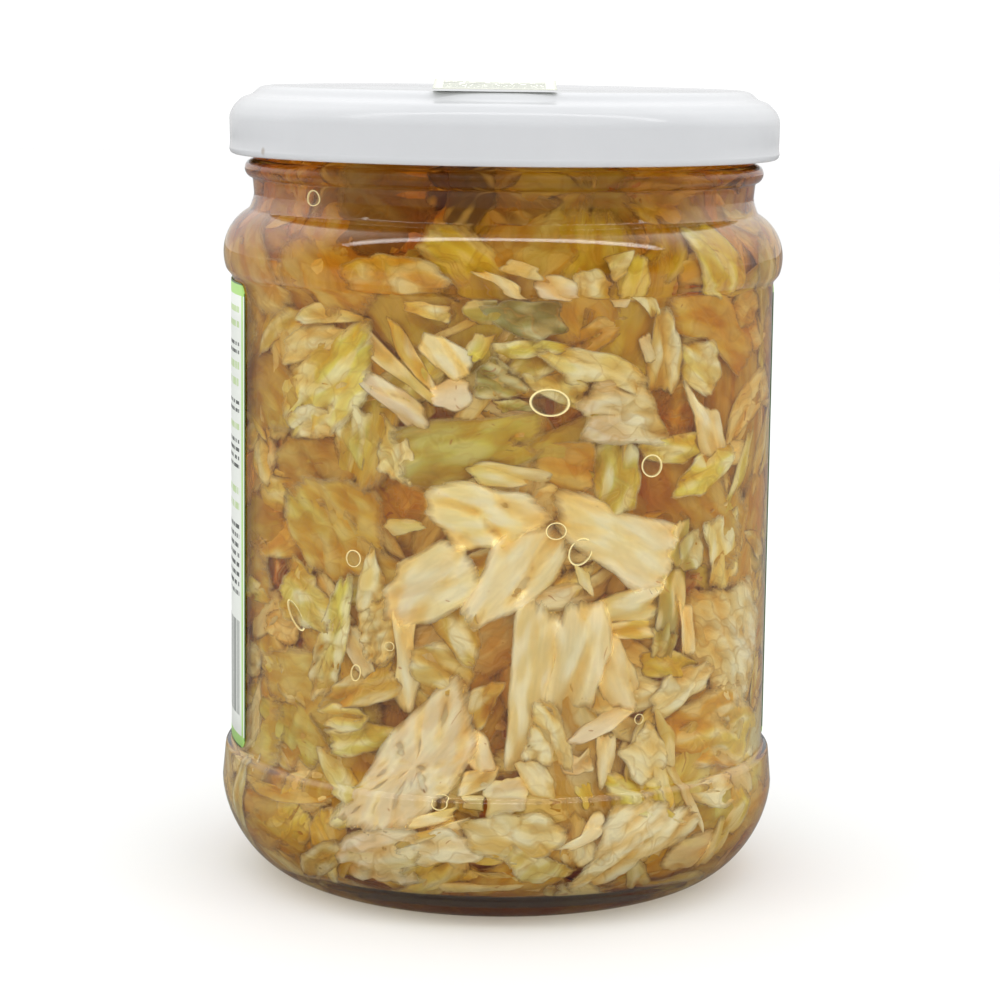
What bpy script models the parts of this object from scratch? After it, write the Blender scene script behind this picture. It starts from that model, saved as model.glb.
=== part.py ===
"""A shut glass jar of sauerkraut with a twist-off lid, in metres, standing on its base at the origin.

+Z is up and -Y is the jar's front, the side that the label leaves bare.
Each turned piece is an outline of (radius, height) points, swept round Z by a Screw modifier.
The sauerkraut is a core with shreds, ribs and leaves that lie along the wall fused onto it.
"""

import math
import random

import bmesh
import bpy
from mathutils import Vector, noise

MM = 0.001
TURN_STEPS = 48
GAP = 0.3 * MM

# Glass, outside
BODY_RADIUS = 42.5 * MM
BULGE_RADIUS = 44.1 * MM
SHOULDER_RADIUS = 43.9 * MM
NECK_RADIUS = 39.1 * MM
FINISH_RADIUS = 39.8 * MM
FOOT_RADIUS = 32.5 * MM
FOOT_INNER_RADIUS = 29.6 * MM
PUSH_UP = 2.6 * MM
BULGE_HEIGHT = 14.8 * MM
PANEL_BOTTOM = 21.0 * MM
PANEL_TOP = 94.8 * MM
SHOULDER_HEIGHT = 98.5 * MM
SHOULDER_ROUND = 7.7 * MM
NECK_HEIGHT = 107.4 * MM
BEAD_HEIGHT = 111.5 * MM
BEAD_ROUND = 1.5 * MM
FINISH_BOTTOM = 114.4 * MM
RIM_HEIGHT = 121.7 * MM
RIM_ROUND = 0.9 * MM
HEEL_FULLNESS = 1.75

# Glass, inside
WALL = 2.4 * MM
FLOOR_HEIGHT = 5.6 * MM
FLOOR_RADIUS = 27.0 * MM
CAVITY_BULGE_RADIUS = 41.5 * MM
MOUTH_RADIUS = 36.7 * MM

# Lid
LID_RADIUS = 43.0 * MM
LID_WALL = 0.6 * MM
LID_BOTTOM = 113.7 * MM
LID_CURL_ROUND = 0.9 * MM
LID_SKIRT_TOP = 119.8 * MM
LID_LEDGE_HEIGHT = 122.5 * MM
LID_LEDGE_RADIUS = 41.0 * MM
LID_STEP_RADIUS = 39.5 * MM
LID_RIM_RADIUS = 37.9 * MM
LID_TOP = 124.3 * MM
LID_DIP = 0.35 * MM

# Paper
PAPER = 0.3 * MM
LABEL_BOTTOM = 21.5 * MM
LABEL_TOP = 94.3 * MM
LABEL_RIGHT_ANGLE = 88.0
LABEL_LEFT_ANGLE = 293.0
LABEL_STEPS = 30
STICKER_WIDTH = 18.0 * MM
STICKER_DEPTH = 14.0 * MM
STICKER_X = -1.5 * MM
STICKER_FRONT = -38.2 * MM
STICKER_LIFT = 1.0 * MM

# Sauerkraut
CORE_DEPTH = 3.0 * MM
CORE_ROUGHNESS = 1.1 * MM
CORE_BOTTOM = 6.6 * MM
CORE_TOP = 120.6 * MM
CORE_STEPS = 24
BURIED = 4.3 * MM
SKIN_DEPTH = 0.5 * MM
SHREDS = 71
SHREDS_BOTTOM = 13.0 * MM
SHREDS_TOP = 116.0 * MM
GOLDEN_ANGLE = 137.508
SEED = 11

# The large pieces against the front wall: form, angle from the front towards +X in degrees,
# height, slope in degrees, length, width. Sizes are in millimetres.
LARGE_PIECES = (
    ("leaf", -18, 27, 43, 24, 10),
    ("rib", -3, 64, -12, 15, 8),
    ("rib", 24, 60, -22, 15, 9),
    ("leaf", 4, 56, 60, 14, 11),
    ("rib", 6, 41, 85, 19, 4),
    ("rib", 15, 43, 82, 16, 7),
    ("rib", 25, 41, -60, 15, 5),
    ("rib", -17, 51, 65, 16, 7),
    ("leaf", -36, 82, 70, 15, 11),
    ("rib", -10, 87, -40, 10, 5),
    ("rib", -21, 81, -40, 10, 5),
    ("leaf", 5, 91, 0, 14, 8),
    ("leaf", 4, 84, 5, 13, 8),
    ("rib", 1, 22, 4, 5, 5),
    ("rib", 7, 24, -8, 5, 5),
    ("leaf", 27, 17, 35, 17, 9),
    ("rib", 5, 16, 5, 12, 5),
    ("leaf", -10, 75, 0, 16, 9),
    ("rib", 38, 57, 80, 17, 4),
    ("leaf", 51, 46, 70, 20, 10),
    ("leaf", -44, 52, -60, 12, 7),
    ("rib", 29, 29, -30, 9, 7),
    ("shred", 33, 29, -70, 16, 3),
    ("leaf", 35, 47, 20, 7, 5),
)


def arc(centre, radius, start, end, steps):
    """Points of an arc about (radius, height), from start to end in degrees, 0 pointing outwards."""
    points = []
    for i in range(steps + 1):
        angle = math.radians(start + (end - start) * i / steps)
        points.append((centre[0] + radius * math.cos(angle), centre[1] + radius * math.sin(angle)))
    return points


def heel(widest, low_radius, low_height, steps, fullness=HEEL_FULLNESS):
    """The round from the widest point of the foot's bulge down to low_radius at low_height."""
    points = []
    for i in range(steps + 1):
        drop = math.sin(math.radians(90 * i / steps))
        out = (1 - drop**fullness) ** (1 / fullness)
        radius = low_radius + (widest - low_radius) * out
        points.append((radius, BULGE_HEIGHT - (BULGE_HEIGHT - low_height) * drop))
    return points


def cavity_outline():
    """The glass's inner side, from the floor's middle up to the mouth."""
    floor_round = heel(CAVITY_BULGE_RADIUS, FLOOR_RADIUS, FLOOR_HEIGHT, 5)
    floor_round.reverse()
    inner_panel = BODY_RADIUS - WALL
    points = [(0, FLOOR_HEIGHT + 0.5 * MM)]
    points += floor_round
    points += [(CAVITY_BULGE_RADIUS - 0.3 * MM, PANEL_BOTTOM - 3 * MM)]
    points += [(inner_panel, PANEL_BOTTOM + 2 * MM), (inner_panel, PANEL_TOP - 2 * MM)]
    points += [(inner_panel + 0.8 * MM, SHOULDER_HEIGHT - 1 * MM)]
    points += arc((SHOULDER_RADIUS - 3 * MM - 6 * MM, SHOULDER_HEIGHT), 6 * MM, 10, 58, 3)
    points += [(MOUTH_RADIUS, NECK_HEIGHT - 0.6 * MM), (MOUTH_RADIUS, RIM_HEIGHT - RIM_ROUND)]
    return points


def shell_outline():
    """The glass's outer side, from the rim down to the push-up under the foot."""
    rim = arc((FINISH_RADIUS - RIM_ROUND, RIM_HEIGHT - RIM_ROUND), RIM_ROUND, 90, 0, 2)
    bead = arc((NECK_RADIUS, BEAD_HEIGHT), BEAD_ROUND, 90, -90, 4)
    shoulder_centre = (SHOULDER_RADIUS - SHOULDER_ROUND, SHOULDER_HEIGHT)
    shoulder = arc(shoulder_centre, SHOULDER_ROUND, 62, -20, 5)
    points = [(MOUTH_RADIUS + RIM_ROUND, RIM_HEIGHT)]
    points += rim
    points += [(FINISH_RADIUS, FINISH_BOTTOM), (NECK_RADIUS, FINISH_BOTTOM - 0.5 * MM)]
    points += bead
    points += [(NECK_RADIUS, NECK_HEIGHT)]
    points += shoulder
    points += [(BODY_RADIUS, PANEL_TOP), (BODY_RADIUS, PANEL_BOTTOM)]
    points += [(BULGE_RADIUS - 0.5 * MM, PANEL_BOTTOM - 0.7 * MM)]
    points += heel(BULGE_RADIUS, FOOT_RADIUS, 0, 7)
    points += [(FOOT_INNER_RADIUS, 0), (FOOT_INNER_RADIUS - 2.6 * MM, 1.0 * MM)]
    points += [(FOOT_INNER_RADIUS * 0.68, PUSH_UP * 0.85), (0, PUSH_UP)]
    return points


def lid_outline():
    """The lid's section: panel, rim, ledge, skirt and the curl at its lower edge."""
    inner_step = LID_STEP_RADIUS - LID_WALL
    curl_centre = (LID_RADIUS - LID_CURL_ROUND, LID_BOTTOM + LID_CURL_ROUND)
    points = [(0, LID_TOP - LID_DIP), (LID_RIM_RADIUS - 4 * MM, LID_TOP - 0.2 * MM)]
    points += [(LID_RIM_RADIUS - 0.8 * MM, LID_TOP), (LID_RIM_RADIUS + 0.4 * MM, LID_TOP - 0.25 * MM)]
    points += [(LID_STEP_RADIUS, LID_LEDGE_HEIGHT + 0.4 * MM), (LID_LEDGE_RADIUS, LID_LEDGE_HEIGHT)]
    points += [(LID_RADIUS - 0.7 * MM, LID_SKIRT_TOP + 1.4 * MM), (LID_RADIUS, LID_SKIRT_TOP)]
    points += arc(curl_centre, LID_CURL_ROUND, 0, -180, 4)
    points += [(LID_RADIUS - LID_WALL, LID_BOTTOM + 2.3 * LID_CURL_ROUND)]
    points += [(LID_RADIUS - LID_WALL, LID_SKIRT_TOP - 0.2 * MM)]
    points += [(LID_LEDGE_RADIUS - 0.2 * MM, LID_LEDGE_HEIGHT - LID_WALL)]
    points += [(inner_step, LID_LEDGE_HEIGHT - LID_WALL + 0.4 * MM)]
    points += [(inner_step - 1.0 * MM, LID_TOP - LID_WALL - 0.1 * MM)]
    points += [(LID_RIM_RADIUS - 4 * MM, LID_TOP - LID_WALL - 0.2 * MM), (0, LID_TOP - LID_WALL - LID_DIP)]
    return points


def radius_at(outline, height):
    """An outline's radius at a height, between its points."""
    for (low_radius, low), (high_radius, high) in zip(outline, outline[1:]):
        if low <= height <= high and high > low:
            return low_radius + (high_radius - low_radius) * (height - low) / (high - low)
    return outline[-1][0]


def add_object(name, mesh, material):
    mesh.materials.append(material)
    mesh.shade_smooth()
    mesh.set_sharp_from_angle(angle=math.radians(35))
    obj = bpy.data.objects.new(name, mesh)
    bpy.context.scene.collection.objects.link(obj)
    return obj


def mesh_of(name, points, faces):
    mesh = bpy.data.meshes.new(name)
    mesh.from_pydata([tuple(point) for point in points], [], faces)
    return mesh


def turned(name, outline, material):
    """A body of revolution from an outline that starts and ends on the axis."""
    points = [(radius, 0, height) for radius, height in outline]
    mesh = bpy.data.meshes.new(name)
    mesh.from_pydata(points, [(i, i + 1) for i in range(len(points) - 1)], [])
    obj = add_object(name, mesh, material)
    screw = obj.modifiers.new("turn", "SCREW")
    screw.steps = TURN_STEPS
    screw.render_steps = TURN_STEPS
    screw.use_merge_vertices = True
    screw.merge_threshold = 0.00001
    screw.use_smooth_shade = True
    return obj


def finish(name, colour, roughness, metallic=0.0, transmission=0.0):
    material = bpy.data.materials.new(name)
    material.use_nodes = True
    shader = material.node_tree.nodes["Principled BSDF"]
    shader.inputs["Base Color"].default_value = (*colour, 1)
    shader.inputs["Roughness"].default_value = roughness
    shader.inputs["Metallic"].default_value = metallic
    shader.inputs["Transmission Weight"].default_value = transmission
    return material


def sheet(outer, inner, columns, rows):
    """Points and faces of a thin closed sheet between two grids of the same columns and rows."""
    points = outer + inner
    back = len(outer)
    faces = []

    def at(i, j):
        return i * (rows + 1) + j

    for i in range(columns):
        for j in range(rows):
            a, b, c, d = at(i, j), at(i + 1, j), at(i + 1, j + 1), at(i, j + 1)
            faces += [(a, b, c), (a, c, d), (back + a, back + c, back + b), (back + a, back + d, back + c)]
    rim = [at(i, 0) for i in range(columns)]
    rim += [at(columns, j) for j in range(rows)]
    rim += [at(i, rows) for i in range(columns, 0, -1)]
    rim += [at(0, j) for j in range(rows, 0, -1)]
    for a, b in zip(rim, rim[1:] + rim[:1]):
        faces.append((a, back + a, back + b, b))
    return points, faces


def on_wall(radius, angle, height):
    """A point at a radius and height, the angle in radians from the front towards +X."""
    return Vector((radius * math.sin(angle), -radius * math.cos(angle), height))


def label(material):
    """The paper label, wrapped round the sides and back of the glass's straight panel."""
    inside = BODY_RADIUS + GAP + 0.05 * MM
    grids = []
    for radius in (inside + PAPER, inside):
        grid = []
        for i in range(LABEL_STEPS + 1):
            turn = LABEL_RIGHT_ANGLE + (LABEL_LEFT_ANGLE - LABEL_RIGHT_ANGLE) * i / LABEL_STEPS
            for height in (LABEL_BOTTOM, LABEL_TOP):
                grid.append(on_wall(radius, math.radians(turn), height))
        grids.append(grid)
    points, faces = sheet(grids[0], grids[1], LABEL_STEPS, 1)
    add_object("label", mesh_of("label", points, faces), material)


def lid_sticker(material):
    """A small paper sticker on the lid's front rim, its rear edge curling up."""
    columns, rows = 4, 4
    grids = []
    for height in (LID_TOP + GAP + PAPER, LID_TOP + GAP):
        grid = []
        for i in range(columns + 1):
            for j in range(rows + 1):
                back = j / rows
                x = STICKER_X + STICKER_WIDTH * (i / columns - 0.5)
                grid.append(Vector((x, STICKER_FRONT + STICKER_DEPTH * back, height + STICKER_LIFT * back**2)))
        grids.append(grid)
    points, faces = sheet(grids[0], grids[1], columns, rows)
    add_object("lid_sticker", mesh_of("lid_sticker", points, faces), material)


def half_width(form, along):
    """A piece's half width over its greatest, at a share of its length."""
    if form == "leaf":
        return 0.25 + 0.75 * math.sin(math.pi * (0.12 + 0.76 * along))
    if form == "rib":
        return 0.72 + 0.28 * math.sin(math.pi * along)
    return 0.55 + 0.45 * math.sin(math.pi * along)


def wall_piece(form, cavity, place, size, outer_depth, draw):
    """A closed shred, rib or leaf that follows the wall: place is (angle, height, slope), size (length, width)."""
    angle, height, slope = place
    length, width = size
    columns, rows = {"leaf": (3, 2), "rib": (3, 1), "shred": (4, 1)}[form]
    bend = draw.uniform(-0.18, 0.18) * length
    wave = 0.5 * MM if form == "leaf" else 0.15 * MM
    phase = draw.uniform(0, math.tau)
    grids = ([], [])
    for i in range(columns + 1):
        along = i / columns
        for j in range(rows + 1):
            across = (2 * j / rows - 1) * half_width(form, along) * width / 2
            u = (along - 0.5) * length
            v = across + bend * (1 - (2 * along - 1) ** 2)
            round_wall = u * math.cos(slope) - v * math.sin(slope)
            z = height + u * math.sin(slope) + v * math.cos(slope)
            z = min(max(z, CORE_BOTTOM + 1.5 * MM), CORE_TOP - 1.0 * MM)
            wall = radius_at(cavity, z)
            depth = outer_depth + wave * (1 + math.sin(phase + 5 * along + 2.5 * j))
            for grid, inside in zip(grids, (depth, max(depth + 1.3 * MM, BURIED))):
                grid.append(on_wall(wall - inside, angle + round_wall / wall, z))
    return sheet(grids[0], grids[1], columns, rows)


def core_mesh(cavity):
    """The heap's middle: a lumpy body a little smaller than the cavity."""
    heights = [CORE_BOTTOM, 9.5 * MM, 13 * MM, 17 * MM, 22 * MM]
    heights += [(22 + 18 * i) * MM for i in range(1, 5)]
    heights += [98.5 * MM, 102 * MM, 105.5 * MM, 109 * MM, 114.5 * MM, CORE_TOP]
    points = [Vector((0, 0, CORE_BOTTOM))]
    for height in heights:
        for i in range(CORE_STEPS):
            angle = math.tau * i / CORE_STEPS
            place = on_wall(1, angle, 0) * 3 + Vector((0, 0, height / (12 * MM)))
            radius = radius_at(cavity, height) - CORE_DEPTH + CORE_ROUGHNESS * noise.noise(place)
            points.append(on_wall(radius, angle, height))
    points.append(Vector((0, 0, CORE_TOP)))
    faces = []
    last = len(heights) - 1
    for i in range(CORE_STEPS):
        following = (i + 1) % CORE_STEPS
        faces.append((0, 1 + following, 1 + i))
        faces.append((len(points) - 1, 1 + last * CORE_STEPS + i, 1 + last * CORE_STEPS + following))
        for ring in range(last):
            low, high = 1 + ring * CORE_STEPS, 1 + (ring + 1) * CORE_STEPS
            faces.append((low + i, low + following, high + following, high + i))
    return mesh_of("sauerkraut", points, faces)


def keep_largest_body(mesh):
    """Drops the loose scraps and the hollows that fusing sealed."""
    shape = bmesh.new()
    shape.from_mesh(mesh)
    left = set(shape.verts)
    bodies = []
    while left:
        body = {left.pop()}
        edge_of = list(body)
        while edge_of:
            vertex = edge_of.pop()
            for edge in vertex.link_edges:
                other = edge.other_vert(vertex)
                if other in left:
                    left.discard(other)
                    body.add(other)
                    edge_of.append(other)
        bodies.append(body)
    bodies.sort(key=len)
    for body in bodies[:-1]:
        bmesh.ops.delete(shape, geom=list(body), context="VERTS")
    shape.to_mesh(mesh)
    shape.free()


def sauerkraut(cavity, material):
    """The heap: its core with every piece that shows at the wall fused on."""
    draw = random.Random(SEED)
    core = add_object("sauerkraut", core_mesh(cavity), material)
    loose = bpy.data.collections.new("pieces")
    bpy.context.scene.collection.children.link(loose)
    pieces = []
    for form, angle, height, slope, length, width in LARGE_PIECES:
        place = (math.radians(angle), height * MM, math.radians(slope))
        pieces.append(wall_piece(form, cavity, place, (length * MM, width * MM), SKIN_DEPTH, draw))
    for i in range(SHREDS):
        form = draw.choice(("shred", "rib", "rib", "leaf"))
        height = SHREDS_BOTTOM + (SHREDS_TOP - SHREDS_BOTTOM) * (i + draw.uniform(0, 1)) / SHREDS
        place = (math.radians(GOLDEN_ANGLE * i), height, math.radians(draw.uniform(-75, 75)))
        length = {"shred": 21, "rib": 15, "leaf": 16}[form] * draw.uniform(0.75, 1.3) * MM
        width = {"shred": 3, "rib": 6, "leaf": 10}[form] * draw.uniform(0.8, 1.25) * MM
        depth = SKIN_DEPTH + draw.uniform(0.05, 0.45) * MM
        pieces.append(wall_piece(form, cavity, place, (length, width), depth, draw))
    for points, faces in pieces:
        loose.objects.link(bpy.data.objects.new("piece", mesh_of("piece", points, faces)))
    fuse = core.modifiers.new("fuse", "BOOLEAN")
    fuse.operation = "UNION"
    fuse.operand_type = "COLLECTION"
    fuse.collection = loose
    fuse.solver = "EXACT"
    bpy.context.view_layer.update()
    fused = bpy.data.meshes.new_from_object(core.evaluated_get(bpy.context.evaluated_depsgraph_get()))
    core.modifiers.clear()
    core.data = fused
    keep_largest_body(fused)
    for piece in list(loose.objects):
        bpy.data.objects.remove(piece)
    bpy.data.collections.remove(loose)


def main():
    for obj in list(bpy.data.objects):
        bpy.data.objects.remove(obj)
    cavity = cavity_outline()
    glass = finish("clear glass", (0.86, 0.93, 0.90), 0.03, transmission=1.0)
    enamel = finish("white enamelled steel", (0.84, 0.85, 0.87), 0.25)
    paper = finish("label paper", (0.90, 0.91, 0.88), 0.6)
    sticker_paper = finish("sticker paper", (0.84, 0.85, 0.78), 0.7)
    cabbage = finish("pickled cabbage", (0.72, 0.55, 0.24), 0.4)
    turned("jar", cavity + shell_outline(), glass)
    turned("lid", lid_outline(), enamel)
    label(paper)
    lid_sticker(sticker_paper)
    sauerkraut(cavity, cabbage)


main()
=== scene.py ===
"""Looks of a shut glass jar of sauerkraut with a white twist-off lid, laid out as a Blender add-on.

Metres, +Z up, and -Y is the jar's bare front. Every rib, leaf and shred of cabbage is a closed form of its
own, laid against the glass from inside. The first ones touch the wall, and the later ones lie behind them.
"""

import math
import random

import bpy
import numpy as np
from bpy.props import FloatProperty, FloatVectorProperty, IntProperty, PointerProperty
from mathutils import Matrix, Vector


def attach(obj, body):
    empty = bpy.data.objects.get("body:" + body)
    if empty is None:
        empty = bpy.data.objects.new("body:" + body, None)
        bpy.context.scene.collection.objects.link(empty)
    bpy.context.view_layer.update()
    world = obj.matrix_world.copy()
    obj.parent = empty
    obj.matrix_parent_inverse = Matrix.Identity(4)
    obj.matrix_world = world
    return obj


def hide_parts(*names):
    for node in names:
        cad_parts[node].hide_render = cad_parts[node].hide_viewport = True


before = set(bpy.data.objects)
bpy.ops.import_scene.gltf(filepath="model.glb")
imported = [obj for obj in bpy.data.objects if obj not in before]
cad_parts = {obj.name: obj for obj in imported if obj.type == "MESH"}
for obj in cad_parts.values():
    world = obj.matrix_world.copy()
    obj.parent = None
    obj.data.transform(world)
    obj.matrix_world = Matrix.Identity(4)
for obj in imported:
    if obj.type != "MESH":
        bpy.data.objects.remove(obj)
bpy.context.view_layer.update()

bl_info = {
    "name": "Jar of sauerkraut",
    "version": (1, 0, 0),
    "blender": (4, 5, 0),
    "location": "3D View > Sidebar > Sauerkraut",
    "description": "Builds a jar of sauerkraut piece by piece: glass, brine, cabbage, lid and paper",
    "category": "Add Mesh",
}

MM = 0.001

# Glass, outside
BODY_RADIUS = 42.5 * MM
BULGE_RADIUS = 44.1 * MM
SHOULDER_RADIUS = 43.9 * MM
NECK_RADIUS = 39.1 * MM
FINISH_RADIUS = 39.8 * MM
FOOT_RADIUS = 32.5 * MM
FOOT_INNER_RADIUS = 29.6 * MM
PUSH_UP = 2.6 * MM
BULGE_HEIGHT = 14.8 * MM
PANEL_BOTTOM = 21.0 * MM
PANEL_TOP = 94.8 * MM
SHOULDER_HEIGHT = 98.5 * MM
SHOULDER_ROUND = 7.7 * MM
NECK_HEIGHT = 107.4 * MM
BEAD_HEIGHT = 111.5 * MM
BEAD_ROUND = 1.5 * MM
FINISH_BOTTOM = 114.4 * MM
RIM_HEIGHT = 121.7 * MM
RIM_ROUND = 0.9 * MM
HEEL_FULLNESS = 1.75
SEAM_ANGLE = -57.0
SEAM_RISE = 0.07 * MM

# Glass, inside
WALL = 2.4 * MM
FLOOR_HEIGHT = 4.5 * MM
FLOOR_RADIUS = 28.0 * MM
CAVITY_BULGE_RADIUS = 41.5 * MM
MOUTH_RADIUS = 36.7 * MM

# Lid
LID_RADIUS = 43.0 * MM
LID_WALL = 0.6 * MM
LID_BOTTOM = 113.7 * MM
LID_CURL_ROUND = 0.9 * MM
LID_SKIRT_TOP = 119.8 * MM
LID_LEDGE_HEIGHT = 122.5 * MM
LID_LEDGE_RADIUS = 41.0 * MM
LID_STEP_RADIUS = 39.5 * MM
LID_RIM_RADIUS = 37.9 * MM
LID_TOP = 124.3 * MM
LID_DIP = 0.35 * MM

# Paper
PAPER = 0.14 * MM
LABEL_LIFT = 0.08 * MM
LABEL_BOTTOM = 21.5 * MM
LABEL_TOP = 94.3 * MM
LABEL_RIGHT_ANGLE = 88.0
LABEL_LEFT_ANGLE = 293.0
LABEL_CORNER = 2.5 * MM
STICKER_WIDTH = 18.0 * MM
STICKER_DEPTH = 14.0 * MM
STICKER_X = -1.5 * MM
STICKER_FRONT = -38.2 * MM
STICKER_LIFT = 1.0 * MM
STICKER_GAP = 0.3 * MM

# How each form of cabbage is cut: the ranges of its length and width, its thickness and how it lies.
# Square is the power of its rounded outline, bend how far its middle line turns, in radians, and taper
# how much one end is wider. Lift is how far a long edge stands off, and fold and wave are the height and
# spacing of its folds. Ragged is its outline's unevenness as a share of its size. Lengths are in mm.
FORMS = {
    "rib": dict(
        length=(7, 15), width=(3.0, 5.6), thick=0.8, square=3.0, ragged=0.05, bend=0.5, taper=0.45,
        lift=0.3, fold=0.45, wave=3.2,
    ),
    "slab": dict(
        length=(9, 16), width=(5.5, 9), thick=0.9, square=2.6, ragged=0.06, bend=0.4, taper=0.4,
        lift=0.4, fold=0.7, wave=4.2,
    ),
    "leaf": dict(
        length=(10, 24), width=(3.5, 8), thick=0.3, square=1.9, ragged=0.07, bend=1.1, taper=0.6,
        lift=0.9, fold=0.8, wave=4.0,
    ),
    "film": dict(
        length=(16, 32), width=(10, 19), thick=0.25, square=2.5, ragged=0.05, bend=0.6, taper=0.5,
        lift=0.7, fold=0.7, wave=6.0,
    ),
    "shred": dict(
        length=(8, 20), width=(1.2, 2.4), thick=0.7, square=3.0, ragged=0.06, bend=1.1, taper=0.4,
        lift=0.15, fold=0.08, wave=3.0,
    ),
    "crinkle": dict(
        length=(7, 14), width=(5, 10), thick=0.3, square=2.4, ragged=0.09, bend=0.5, taper=0.4,
        lift=0.6, fold=0.5, wave=2.4,
    ),
    "dice": dict(
        length=(2.6, 4.6), width=(2.2, 3.8), thick=0.9, square=4.5, ragged=0.05, bend=0.2, taper=0.2,
        lift=0.1, fold=0.08, wave=2.0,
    ),
}
STIFF = ("rib", "slab", "dice")

# The share of a piece's thickness that stays between its neighbours once they are pressed together.
PRESSED = 0.62

# Painted light: the share of its own colour that the flesh gives out as a glow, in place of light that
# reaches it from behind.
GLOW = 0.055

# How deep the gaps are, in millimetres.
HOLLOW = 3.0

# How much deeper the filling lies by its height, both in millimetres.
SUNK = ((18, -0.3), (26, 0.0), (60, 0.0), (80, 0.25), (101, 0.6), (107, 2.0))

# How much larger a front piece is than what its neighbours leave to be seen of it.
TUCKED = 1.27

# How far a fold may stand out towards the glass, in millimetres: in the filling, and in the front pieces.
STANDS_OUT = (0.2, 0.7)
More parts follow.
